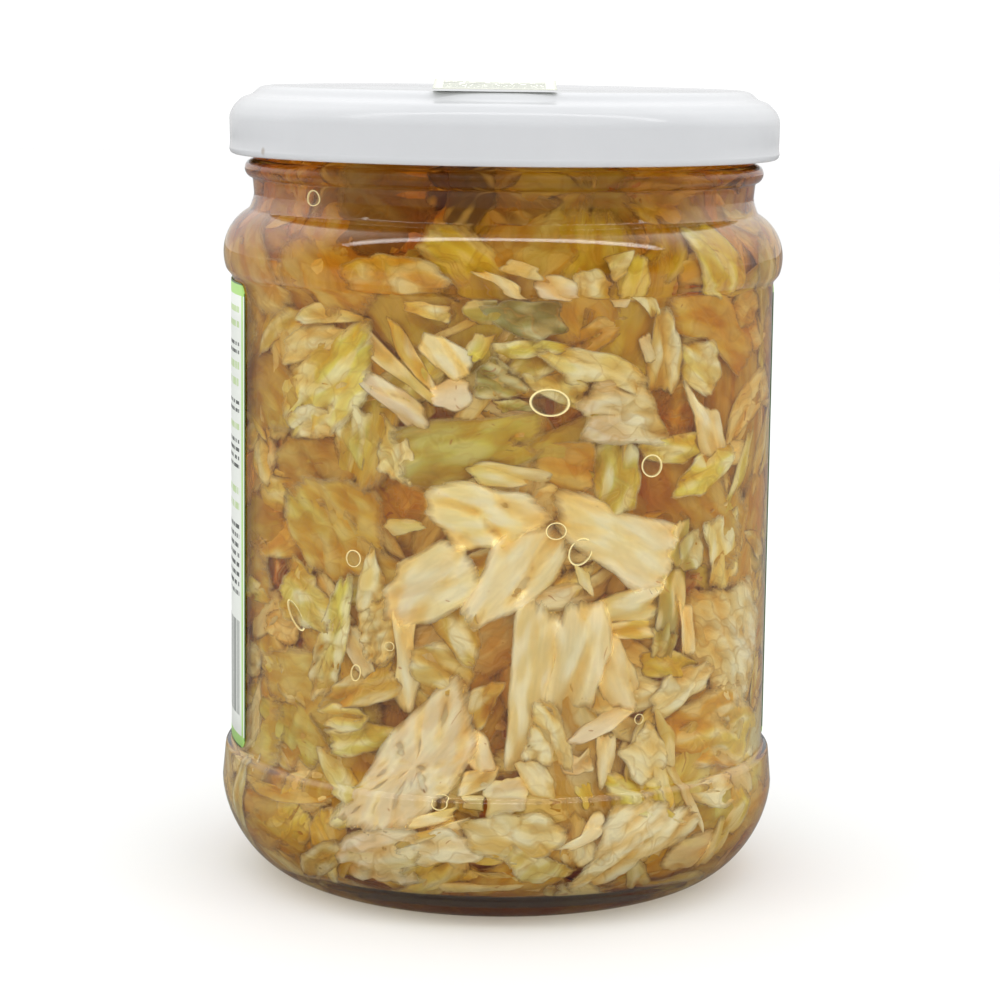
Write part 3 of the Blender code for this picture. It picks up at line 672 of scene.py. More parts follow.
def bump(tree, shader, height, strength, distance):
    made = node(tree, "ShaderNodeBump")
    feed(tree, made.inputs["Height"], height)
    feed(tree, made.inputs["Strength"], strength)
    feed(tree, made.inputs["Distance"], distance)
    tree.links.new(made.outputs["Normal"], shader.inputs["Normal"])


def clear_to_shadows(tree, shader, colour):
    """Lets light reach what is inside: shadow and diffuse rays pass straight through, tinted by colour."""
    output = tree.nodes["Material Output"]
    clear = node(tree, "ShaderNodeBsdfTransparent")
    clear.inputs["Color"].default_value = (*colour, 1)
    either = node(tree, "ShaderNodeMixShader")
    path = node(tree, "ShaderNodeLightPath")
    passes = maths(tree, "MAXIMUM", path.outputs["Is Shadow Ray"], path.outputs["Is Diffuse Ray"])
    tree.links.new(passes, either.inputs["Fac"])
    tree.links.new(shader.outputs["BSDF"], either.inputs[1])
    tree.links.new(clear.outputs["BSDF"], either.inputs[2])
    tree.links.new(either.outputs["Shader"], output.inputs["Surface"])


def fine_marks_group():
    """Dust, scuffs and an uneven gloss, for smooth hard surfaces."""
    tree, given, out = new_group(
        "fine marks",
        (("Scale", 1.0), ("Specks", 0.5)),
        (("Dust", "NodeSocketFloat"), ("Unevenness", "NodeSocketFloat"), ("Height", "NodeSocketFloat")),
    )
    place = node(tree, "ShaderNodeTexCoord").outputs["Object"]
    sized = node(tree, "ShaderNodeVectorMath", operation="SCALE")
    feed(tree, sized.inputs[0], place)
    feed(tree, sized.inputs["Scale"], given["Scale"])
    cells = node(tree, "ShaderNodeTexVoronoi", feature="F1")
    feed(tree, cells.inputs["Vector"], sized.outputs["Vector"])
    feed(tree, cells.inputs["Scale"], 140.0)
    near = spread(tree, cells.outputs["Distance"], 0.05, 0.11, 1.0, 0.0)
    which = node(tree, "ShaderNodeSeparateColor")
    tree.links.new(cells.outputs["Color"], which.inputs["Color"])
    bare = maths(tree, "SUBTRACT", 1.0, given["Specks"])
    chosen = maths(tree, "GREATER_THAN", which.outputs["Red"], bare)
    feed(tree, out["Dust"], product(tree, near, chosen))
    feed(tree, out["Unevenness"], noise(tree, sized.outputs["Vector"], 60.0, 4.0, 0.6))
    feed(tree, out["Height"], noise(tree, sized.outputs["Vector"], 25.0, 2.0, 0.5))
    return tree


def cabbage_flesh_group():
    """Colour, relief and cover of wet cabbage: folded petals with painted shade and highlights, clouds,
    golden patches, specks and edges with painted light.
    """
    tree, given, out = new_group(
        "cabbage flesh",
        (("Clouds", 0.5), ("Gold", 0.5), ("Petals", 0.5), ("Edge Light", 0.5)),
        (("Colour", "NodeSocketColor"), ("Height", "NodeSocketFloat"), ("Edge Cover", "NodeSocketFloat")),
    )
    grain = node(tree, "ShaderNodeAttribute", attribute_name="grain").outputs["Vector"]
    tone = node(tree, "ShaderNodeAttribute", attribute_name="tone").outputs["Color"]
    edge = node(tree, "ShaderNodeAttribute", attribute_name="edge").outputs["Fac"]
    drift = node(tree, "ShaderNodeTexNoise", noise_dimensions="2D")
    feed(tree, drift.inputs["Vector"], grain)
    feed(tree, drift.inputs["Scale"], 0.32)
    feed(tree, drift.inputs["Detail"], 0.0)
    shifted = node(tree, "ShaderNodeVectorMath", operation="MULTIPLY_ADD")
    feed(tree, shifted.inputs[0], drift.outputs["Color"])
    feed(tree, shifted.inputs[1], (5.0, 4.0, 0.0))
    feed(tree, shifted.inputs[2], grain)
    curled = scaled(tree, shifted.outputs["Vector"], 0.20, 0.44, 1.0)
    petals = node(tree, "ShaderNodeTexVoronoi", feature="F1", voronoi_dimensions="2D")
    feed(tree, petals.inputs["Vector"], curled)
    feed(tree, petals.inputs["Scale"], 1.0)
    seams = node(tree, "ShaderNodeTexVoronoi", feature="DISTANCE_TO_EDGE", voronoi_dimensions="2D")
    feed(tree, seams.inputs["Vector"], curled)
    feed(tree, seams.inputs["Scale"], 1.0)
    which = node(tree, "ShaderNodeSeparateColor")
    tree.links.new(petals.outputs["Color"], which.inputs["Color"])
    patches = noise(tree, scaled(tree, grain, 0.18, 0.48, 1.0), 1.0, 0.0, 0.6, True)
    streaks = noise(tree, scaled(tree, grain, 0.24, 1.5, 1.0), 1.0, 1.0, 0.65, True)
    own = product(tree, centred(tree, which.outputs["Red"]), given["Petals"])
    worn = maths(tree, "ADD", edge, product(tree, centred(tree, streaks), 0.4))
    worn = maths(tree, "ADD", worn, product(tree, own, 0.3))
    border = spread(tree, worn, 0.60, 0.88)
    golden = maths(tree, "ADD", product(tree, spread(tree, patches, 0.50, 0.30), 0.7), border)
    some = product(tree, spread(tree, which.outputs["Green"], 0.55, 0.95), 0.5)
    golden = product(tree, maths(tree, "ADD", golden, some), given["Gold"], clamp=True)
    cloudy = product(tree, spread(tree, patches, 0.48, 0.66), given["Clouds"])
    colour = mixed(tree, golden, tone, mixed(tree, 1.0, tone, (0.86, 0.65, 0.27, 1), "MULTIPLY"))
    colour = mixed(tree, cloudy, colour, (0.90, 0.83, 0.62, 1))
    # Painted shade: each petal is coloured a little lower towards its seams and lighter in its middle; the
    # same pillow shape also feeds the relief.
    pillow = product(tree, spread(tree, seams.outputs["Distance"], 0.0, 0.30), given["Petals"])
    veined = spread(tree, streaks, 0.25, 0.75, 0.93, 1.03)
    varied = spread(tree, own, -0.5, 0.5, 0.82, 1.06)
    shade = product(tree, veined, varied, spread(tree, pillow, 0.0, 1.0, 0.9, 1.04))
    grey = node(tree, "ShaderNodeCombineColor")
    for name in ("Red", "Green", "Blue"):
        feed(tree, grey.inputs[name], shade)
    colour = mixed(tree, 1.0, colour, grey.outputs["Color"], "MULTIPLY")
    # Painted shade: a deep golden-brown line along the creases between the petals.
    seam = spread(tree, seams.outputs["Distance"], 0.015, 0.10, 1.0, 0.0)
    seam = product(tree, seam, spread(tree, streaks, 0.35, 0.6), given["Petals"])
    colour = mixed(tree, product(tree, seam, 0.6), colour, (0.55, 0.33, 0.10, 1))
    # Painted highlight: a lighter band a little way in from each petal's crease.
    lip = maths(tree, "COMPARE", seams.outputs["Distance"], 0.15, 0.035)
    lip = product(tree, lip, product(tree, given["Petals"], which.outputs["Blue"]))
    colour = mixed(tree, lip, colour, (0.10, 0.10, 0.07, 1), "ADD")
    size = spread(tree, which.outputs["Blue"], 0.80, 1.0, 0.0, 0.09)
    speck = maths(tree, "LESS_THAN", petals.outputs["Distance"], size)
    colour = mixed(tree, product(tree, speck, 0.6), colour, (0.36, 0.13, 0.04, 1))
    # Painted light: a pale line just inside the piece's outline, as strong as Edge Light says.
    rim = product(tree, spread(tree, worn, 0.70, 0.84), given["Edge Light"])
    colour = mixed(tree, product(tree, rim, 0.5), colour, (0.90, 0.84, 0.60, 1))
    feed(tree, out["Colour"], colour)
    feed(tree, out["Height"], maths(tree, "ADD", streaks, product(tree, pillow, 1.5)))
    feed(tree, out["Edge Cover"], spread(tree, either_value(tree, 0.7, edge, worn), 1.0, 0.64))
    return tree


def print_block_group():
    """A rectangle of generic text-like lines on the label: rows of short bars of uneven length."""
    tree, given, out = new_group(
        "print block",
        (
            ("Left", 0.0), ("Right", 1.0), ("Bottom", 0.0), ("Top", 1.0),
            ("Row", 2.0), ("Fill", 0.45), ("Seed", 0.0),
        ),
        (("Ink", "NodeSocketFloat"),),
    )
    sheet = node(tree, "ShaderNodeAttribute", attribute_name="sheet").outputs["Vector"]
    parts = node(tree, "ShaderNodeSeparateXYZ")
    tree.links.new(sheet, parts.inputs["Vector"])
    along, up = parts.outputs["X"], parts.outputs["Y"]
    inside = product(
        tree, between(tree, along, given["Left"], given["Right"]),
        between(tree, up, given["Bottom"], given["Top"]),
    )
    row = maths(tree, "DIVIDE", maths(tree, "SUBTRACT", up, given["Bottom"]), given["Row"])
    in_row = maths(tree, "LESS_THAN", maths(tree, "FRACT", row), given["Fill"])
    place = node(tree, "ShaderNodeCombineXYZ")
    feed(tree, place.inputs["X"], along)
    feed(tree, place.inputs["Y"], product(tree, maths(tree, "FLOOR", row), 7.3))
    feed(tree, place.inputs["Z"], given["Seed"])
    words = maths(tree, "GREATER_THAN", noise(tree, place.outputs["Vector"], 1.1, 2.0, 0.8), 0.44)
    feed(tree, out["Ink"], product(tree, inside, in_row, words))
    return tree


class GlassSettings(bpy.types.PropertyGroup):
    """The moulded glass."""

    steps: IntProperty(name="Sides", description="Sides of the turned glass", default=320, min=24)
    tint: colour_setting("Tint", "Tint of the glass", (0.955, 0.975, 0.955))
    shadow_tint: colour_setting("Shadow tint", "Light left by one wall", (0.96, 0.975, 0.96))
    knurl: length_setting("Knurl", "Depth of the foot's knurling", 0.22 * MM)


class BrineSettings(bpy.types.PropertyGroup):
    """The brine that fills the jar round the cabbage."""

    colour: colour_setting("Colour", "Colour that the brine lets through", (0.925, 0.67, 0.03))
    density: FloatProperty(name="Density", description="Absorption for each metre", default=400.0, min=0)
    overlap: length_setting("Overlap", "How far the brine reaches into the wall", 0.15 * MM)
    top: length_setting("Top", "Height that the brine is filled to", 120.8 * MM)


class CabbageSettings(bpy.types.PropertyGroup):
    """The cabbage pieces."""

    seed: IntProperty(name="Seed", description="Seed of the random pieces", default=7)
    count: IntProperty(name="Pieces", description="Pieces round the front ones", default=720, min=0)
    cell: length_setting("Cell", "Grid that the pieces are laid on", 0.7 * MM)
    deepest: length_setting("Deepest", "Depth of the deepest gaps", 3.1 * MM)
    cream: colour_setting("Cream", "Thick white rib", (0.85, 0.72, 0.47))
    flat: colour_setting("Flat", "Smooth outer rib", (0.80, 0.66, 0.47))
    pale: colour_setting("Pale", "Pale leaf", (0.79, 0.66, 0.29))
    yellow: colour_setting("Yellow", "Yellow-green leaf", (0.74, 0.64, 0.13))
    golden: colour_setting("Golden", "Translucent golden leaf", (0.73, 0.51, 0.12))
    moss: colour_setting("Moss", "Greenish leaf", (0.56, 0.47, 0.13))
    olive: colour_setting("Olive", "Outer green leaf", (0.34, 0.30, 0.09))
    stem: colour_setting("Stem", "Grey-green stem", (0.42, 0.33, 0.17))
    # Painted shade: the tone that deepens the neck's colour under the lid, where its shadow falls.
    dark: colour_setting("Dark", "Painted shade under the lid", (0.20, 0.14, 0.07))
    core: colour_setting("Core", "What shows deep in the gaps", (0.52, 0.22, 0.04))


class LidSettings(bpy.types.PropertyGroup):
    """The enamelled lid."""

    steps: IntProperty(name="Sides", description="Sides of the turned lid", default=256, min=24)
    colour: colour_setting("Enamel", "Colour of the enamel", (0.60, 0.61, 0.625))


class PaperSettings(bpy.types.PropertyGroup):
    """The label and the sticker."""

    paper: colour_setting("Paper", "Bare label paper", (0.86, 0.88, 0.84))
    leaf_green: colour_setting("Leaf green", "Light green print", (0.42, 0.72, 0.18))
    pale_green: colour_setting("Pale green", "Pale green print", (0.55, 0.70, 0.36))
    line_green: colour_setting("Line green", "Dark green outline", (0.06, 0.16, 0.04))
    ink: colour_setting("Ink", "Grey print", (0.10, 0.11, 0.10))
    sticker: colour_setting("Sticker", "Sticker paper", (0.80, 0.82, 0.72))


class StageSettings(bpy.types.PropertyGroup):
    """The camera, the floor and the light."""

    distance: length_setting("Distance", "Camera to the jar's axis", 0.4735)
    eye: length_setting("Eye height", "Camera's height", 0.132)
    pitch: FloatProperty(name="Pitch", description="Look down", default=math.radians(8.76), subtype="ANGLE")
    roll: FloatProperty(name="Roll", description="Camera's turn", default=math.radians(0.73), subtype="ANGLE")
    lens: FloatProperty(name="Lens", description="Focal length in millimetres", default=108.04)
    floor: length_setting("Floor", "Size of the floor", 6.0)
    sky: FloatProperty(name="Sky", description="Strength of the light from above", default=1.36, min=0)
    horizon: FloatProperty(name="Horizon", description="Strength of the sides' light", default=0.60, min=0)
    lamp: FloatProperty(name="Lamp", description="Power of the overhead light", default=2.2, unit="POWER")
    front_gloss: FloatProperty(
        name="Front gloss", description="Share of the front's light in reflections", default=0.07, min=0
    )
    back_gloss: FloatProperty(
        name="Back gloss", description="Share of the back's light in reflections", default=1.25, min=0
    )


def colours():
    """The tones by name, as linear colours."""
    settings = bpy.context.scene.cabbage_settings
    names = ("cream", "flat", "pale", "yellow", "golden", "moss", "olive", "stem", "dark")
    return {name: np.array(getattr(settings, name)) for name in names}


class Wall:
    """The inner wall unrolled: a place is an angle from the front towards +X and a way up the wall."""

    def __init__(self, outline):
        self.radius, self.height = np.array(outline).T
        lengths = np.hypot(np.diff(self.radius), np.diff(self.height))
        self.way = np.concatenate([[0], np.cumsum(lengths)])
        self.top = self.way[-1]

    def radius_at(self, way):
        return np.interp(way, self.way, self.radius)

    def way_at(self, height):
        return np.interp(height, self.height, self.way)

    def points(self, angle, way, depth):
        """Points at a depth from the wall, measured square to it."""
        step = 1.0 * MM
        rise = np.interp(way + step, self.way, self.height) - np.interp(way - step, self.way, self.height)
        run = self.radius_at(way + step) - self.radius_at(way - step)
        length = np.maximum(np.hypot(rise, run), 1e-9)
        radius = self.radius_at(way) - depth * rise / length
        height = np.interp(way, self.way, self.height) + depth * run / length
        return np.stack([radius * np.sin(angle), -radius * np.cos(angle), height], axis=-1)

    def seen_at(self, across, up):
        """Angle and way of the wall point that shows at a place on the upright plane at the jar's front."""
        stage = bpy.context.scene.stage_settings
        eye = np.array([0, -stage.distance, stage.eye])
        ray = np.array([across, -BODY_RADIUS, up]) - eye
        ray /= np.linalg.norm(ray)
        inner = BODY_RADIUS - WALL
        reach = eye[:2] @ ray[:2]
        flat = ray[:2] @ ray[:2]
        for radius in (BODY_RADIUS, inner):
            room = reach**2 - flat * (eye[:2] @ eye[:2] - radius**2)
            if room < 0:
                raise RuntimeError(f"nothing of the wall shows {across / MM:.1f} mm across")
            hit = eye + ray * (-reach - math.sqrt(room)) / flat
            angle = math.atan2(hit[0], -hit[1])
        return angle, self.way_at(hit[2])

    def unrolled(self, corners):
        """A piece's middle, turn, length and width, and its corners as shares of their halves."""
        angles, ways = np.array([self.seen_at(across * MM, up * MM) for across, up in corners]).T
        radius = self.radius_at(ways.mean())
        right, above = angles * radius, ways
        cross = right * np.roll(above, -1) - np.roll(right, -1) * above
        middle_right = ((right + np.roll(right, -1)) * cross).sum() / (3 * cross.sum())
        middle_above = ((above + np.roll(above, -1)) * cross).sum() / (3 * cross.sum())
        right, above = right - middle_right, above - middle_above
        axis = np.linalg.eigh(np.cov(right, above))[1][:, 1]
        turn = math.atan2(axis[1], axis[0])
        along = right * math.cos(turn) + above * math.sin(turn)
        aside = -right * math.sin(turn) + above * math.cos(turn)
        length, width = 2 * np.abs(along).max(), 2 * np.abs(aside).max()
        shares = np.column_stack([2 * along / length, 2 * aside / width])
        return middle_right / radius, middle_above, turn, length, width, shares


class Packing:
    """How deep the pieces laid so far reach from the glass, over the unrolled wall."""

    def __init__(self, wall, cell):
        self.wall = wall
        self.columns = int(math.tau * BODY_RADIUS / cell)
        self.rows = int(wall.top / cell)
        self.angle_step = math.tau / self.columns
        self.way_step = wall.top / self.rows
        self.depth = np.zeros((self.columns, self.rows))

    def depth_near(self, angle, way):
        column = int(angle / self.angle_step)
        row = min(max(int(way / self.way_step), 1), self.rows - 2)
        around = np.arange(column - 1, column + 2) % self.columns
        return self.depth[np.ix_(around, [row - 1, row, row + 1])].mean()

    def hollow(self, angle, way, reach, deep):
        """Keeps what is laid from now on away from the glass round a place."""
        right = (np.arange(self.columns) * self.angle_step - angle + math.pi) % math.tau - math.pi
        above = np.arange(self.rows) * self.way_step - way
        distance = np.hypot(right[:, None] * self.wall.radius_at(way), above[None, :])
        depth = deep * np.clip(1.6 - 0.8 * distance / reach, 0, 1)
        self.depth = np.maximum(self.depth, depth)

    def lay(self, cut, angle, way, turn, touch):
        """Lays a piece on those before it. Returns a function for its front's depth at wall places."""
        radius = self.wall.radius_at(way)
        spread_columns = int(cut.reach / radius / self.angle_step) + 2
        spread_rows = int(cut.reach / self.way_step) + 2
        column, row = int(angle / self.angle_step), int(way / self.way_step)
        columns = np.arange(column - spread_columns, column + spread_columns + 1)
        rows = np.arange(max(row - spread_rows, 0), min(row + spread_rows, self.rows - 1) + 1)
        window = np.ix_(columns % self.columns, rows)
        laid = self.depth[window]
        right = ((columns * self.angle_step - angle) * radius)[:, None] + 0 * laid
        above = (rows * self.way_step - way)[None, :] + 0 * laid
        x = right * math.cos(turn) + above * math.sin(turn)
        y = -right * math.sin(turn) + above * math.cos(turn)
        covered = cut.share(x, y) < 1
        if not covered.any():
            return None
        if cut.stiff:
            surface = resting_plane(laid, right, above, covered)
        else:
            surface = draped(laid, 3)
        surface = np.maximum(surface, touch)
        surface = np.maximum(surface + cut.lean[0] * right + cut.lean[1] * above, 0.05 * MM)
        self.depth[window] = np.where(covered, np.maximum(laid, surface + PRESSED * cut.thick), laid)

        def front(angles, ways):
            i = np.clip(angles / self.angle_step - columns[0], 0, len(columns) - 1.001)
            j = np.clip(ways / self.way_step - rows[0], 0, len(rows) - 1.001)
            i0, j0 = i.astype(int), j.astype(int)
            u, v = i - i0, j - j0
            low = surface[i0, j0] * (1 - u) + surface[i0 + 1, j0] * u
            high = surface[i0, j0 + 1] * (1 - u) + surface[i0 + 1, j0 + 1] * u
            return low * (1 - v) + high * v

        return front


def resting_plane(laid, right, above, covered):
    """The flattest plane that nearly clears what is laid under the piece."""
    sides = np.column_stack([np.ones(covered.sum()), right[covered], above[covered]])
    level, lean_right, lean_up = np.linalg.lstsq(sides, laid[covered], rcond=None)[0]
    lean_right, lean_up = np.clip([lean_right, lean_up], -0.22, 0.22)
    level = np.percentile(laid[covered] - lean_right * right[covered] - lean_up * above[covered], 82)
    return level + lean_right * right + lean_up * above


def neighbours(grid):
    """The grid shifted by up to one cell each way, nine times in all."""
    padded = np.pad(grid, 1, mode="edge")
    columns, rows = grid.shape
    return [padded[i : i + columns, j : j + rows] for i in range(3) for j in range(3)]


def draped(laid, passes):
    """A smooth surface over what is laid."""
    surface = 0.5 * laid + 0.5 * np.maximum.reduce(neighbours(laid))
    for _ in range(passes):
        surface = sum(neighbours(surface)) / 9
    return surface


def rounded(power):
    """An outline between an oval and a rectangle: its distance from the middle in each direction."""
    return (np.abs(np.cos(DIRECTIONS)) ** power + np.abs(np.sin(DIRECTIONS)) ** power) ** (-1 / power)


def cornered(corners, passes=2):
    """The outline through the corners, softened: its distance from the middle in each direction."""
    out = np.full(len(DIRECTIONS), 0.15)
    ray_x, ray_y = np.cos(DIRECTIONS), np.sin(DIRECTIONS)
    for (x, y), (side_x, side_y) in zip(corners, np.roll(corners, -1, axis=0) - corners):
        slant = ray_x * side_y - ray_y * side_x
        slant = np.where(np.abs(slant) < 1e-9, 1e-9, slant)
        distance = (x * side_y - y * side_x) / slant
        along = (x * ray_y - y * ray_x) / slant
        out = np.where((along >= 0) & (along <= 1), np.maximum(out, distance), out)
    for _ in range(passes):
        out = (np.roll(out, 1) + 2 * out + np.roll(out, -1)) / 4
    return out


class Cut:
    """One piece of cut cabbage: a strip laid along a curved middle line. Lengths are in metres."""

    def __init__(self, form, length, width, draw, corners=None):
        how = FORMS[form]
        self.length, self.width = length, width
        self.thick = how["thick"] * MM * draw.uniform(0.8, 1.25)
        self.stiff = form in STIFF
        if corners is None:
            self.outline = rounded(how["square"] * draw.uniform(0.8, 1.3))
            self.taper = draw.uniform(-1, 1) * how["taper"]
            self.swell = draw.uniform(-0.15, 0.15)
            self.skew = draw.uniform(-0.4, 0.4)
            self.bend = draw.gauss(0, how["bend"])
        else:
            self.outline = cornered(corners)
            self.taper = self.swell = self.skew = 0.0
            self.bend = draw.uniform(-0.3, 0.3) * how["bend"]
        self.bend = max(-1.6, min(1.6, self.bend))
        calm = 1 if corners is None else 0.9
        for k in (2, 3, 5, 7, 9, 13):
            ragged = draw.gauss(0, how["ragged"] / math.sqrt(k - 1)) * calm
            self.outline = self.outline * (1 + ragged * np.sin(k * DIRECTIONS + draw.uniform(0, math.tau)))
        self.lean = (draw.gauss(0, 0.05), draw.gauss(0, 0.05))
        self.lift = draw.choice((-1, 1)) * how["lift"] * MM * draw.uniform(0.3, 1.3)
        self.folds = []
        for i in range(3):
            turn = draw.gauss(0, 0.3 if self.stiff else 0.5)
            spacing = how["wave"] * MM * draw.uniform(0.7, 1.4)
            height = how["fold"] * MM * draw.uniform(0.4, 1.0) / (i + 1)
            phase = draw.uniform(0, 1)
            self.folds.append((math.sin(turn) / spacing, math.cos(turn) / spacing, phase, height))
        self.reach = 0.5 * self.outline.max() * math.hypot(length, width * 1.5)

    def half_width(self, along):
        u = np.clip(2 * along / self.length, -1.1, 1.1)
        return self.width / 2 * np.maximum(1 + self.taper * u + self.swell * np.sin(4 * u), 0.2)

    def edge_scale(self, angle):
        """The outline's distance from the middle, in its own half lengths and half widths."""
        return np.interp(angle, DIRECTIONS, self.outline, period=math.tau)

    def straightened(self, x, y):
        """A place on the bent piece as lengths along and aside of its middle line."""
        if abs(self.bend) < 0.02:
            return x, y
        side = math.copysign(1, self.bend)
        radius = self.length / abs(self.bend)
        angle = np.arctan2(x, radius - side * y)
        return radius * angle, side * (radius - np.hypot(x, radius - side * y))

    def bent(self, along, aside):
        """The place on the bent piece at lengths along and aside of its middle line."""
        if abs(self.bend) < 0.02:
            return along, aside
        side = math.copysign(1, self.bend)
        radius = self.length / abs(self.bend)
        out = radius - side * aside
        return out * np.sin(along / radius), side * (radius - out * np.cos(along / radius))

    def share(self, x, y):
        """How far out a point lies, 0 in the middle and 1 on the outline."""
        along, aside = self.straightened(x, y)
        along = along - self.skew * aside
        u, v = 2 * along / self.length, aside / self.half_width(along)
        return np.hypot(u, v) / self.edge_scale(np.arctan2(v, u))

    def place(self, share, angle):
        """Lengths along and aside of the middle line, at a share of the way out in a direction."""
        out = share * self.edge_scale(angle)
        along = out * np.cos(angle) * self.length / 2
        aside = out * np.sin(angle) * self.half_width(along)
        return along + self.skew * aside, aside

    def relief(self, along, aside):
        """How far the surface stands off its rest by its folds and its lifted edge."""
        v = np.clip(2 * aside / self.width, -1.2, 1.2)
        depth = self.lift * (v * np.abs(v) - 0.3 * v)
        for lengthways, sideways, phase, height in self.folds:
            sway = 0.15 * np.sin(along / (2.1 * MM) + 9 * phase)
            turn = along * lengthways + aside * sideways + phase + sway
            depth = depth + height * (1 - 2 * np.abs(np.sin(math.pi * turn)))
        return depth


class Heap:
    """Gathers the triangles of the pieces of one kind."""

    FRONT_SHARES = (0.15, 0.3, 0.45, 0.6, 0.72, 0.83, 0.92, 0.98, 1.0)
    PLAIN_SHARES = (0.3, 0.55, 0.76, 0.92, 1.0)
    BACK_SHARES = (0.8,)

    def __init__(self):
        self.points, self.triangles = [], []
        self.grain, self.edge, self.tone = [], [], []
        self.count = 0

    def add(self, cut, wall, front, angle, way, turn, tones, draw, fine):
        sides = 48 if fine else 28
        rings = self.FRONT_SHARES if fine else self.PLAIN_SHARES
        directions = np.arange(sides) * math.tau / sides
        radius = wall.radius_at(way)
        shares = np.concatenate([[0.0], np.repeat(rings + self.BACK_SHARES, sides), [0.0]])
        turns = np.concatenate([[0.0], np.tile(directions, len(rings) + len(self.BACK_SHARES)), [0.0]])
        along, aside = cut.place(shares, turns)
        x, y = cut.bent(along, aside)
        right = x * math.cos(turn) - y * math.sin(turn)
        above = x * math.sin(turn) + y * math.cos(turn)
        angles, ways = angle + right / radius, way + above
        rounding = np.clip((shares - 0.5) / 0.5, 0, 1)
        fall = cut.thick / 2 * (1 - np.sqrt(np.maximum(1 - rounding**2, 0)))
        is_back = np.arange(len(shares)) > len(rings) * sides
        depth = front(angles, ways) + np.maximum(cut.relief(along, aside), -STANDS_OUT[fine] * MM)
        depth = depth + np.where(is_back, cut.thick - fall, fall)
        self.points.append(wall.points(angles, ways, np.maximum(depth, 0.03 * MM)))
        self.triangles.append(ring_triangles(sides, len(rings) + len(self.BACK_SHARES)) + self.count)
        start = np.array([draw.uniform(0, 900), draw.uniform(0, 900), 0])
        self.grain.append(np.column_stack([along / MM, aside / MM, np.zeros(len(x))]) + start)
        self.edge.append(shares ** (2.4 if fine else 1.7))
        lean, shift, phase = draw.uniform(0.5, 1.6), draw.uniform(-0.5, 0.7), draw.uniform(0, math.tau)
        blend = 0.5 + lean * (along / cut.length + 0.25 * np.sin(aside / (1.5 * MM) + phase)) - shift
        blend = np.clip(blend, 0, 1)[:, None]
        tone = tones[0] * (1 - blend) + tones[1] * blend
        self.tone.append(np.column_stack([tone, np.ones(len(x))]))
        self.count += len(x)

    def mesh(self, name):
        attributes = {
            "grain": ("FLOAT_VECTOR", "vector", np.concatenate(self.grain)),
            "edge": ("FLOAT", "value", np.concatenate(self.edge)),
            "tone": ("FLOAT_COLOR", "color", np.concatenate(self.tone)),
        }
        return triangle_mesh(name, np.concatenate(self.points), np.concatenate(self.triangles), attributes)


def ring_triangles(sides, rings):
    """The triangles between rings of points, from a first middle point to a last one."""
    k = np.arange(sides)
    following = (k + 1) % sides
    faces = [np.column_stack([np.zeros(sides, int), 1 + following, 1 + k])]
    for ring in range(rings - 1):
        inner, outer = 1 + ring * sides, 1 + (ring + 1) * sides
        faces.append(np.column_stack([inner + k, inner + following, outer + following]))
        faces.append(np.column_stack([inner + k, outer + following, outer + k]))
    last = 1 + (rings - 1) * sides
    faces.append(np.column_stack([last + k, last + following, np.full(sides, 1 + rings * sides)]))
    return np.concatenate(faces)


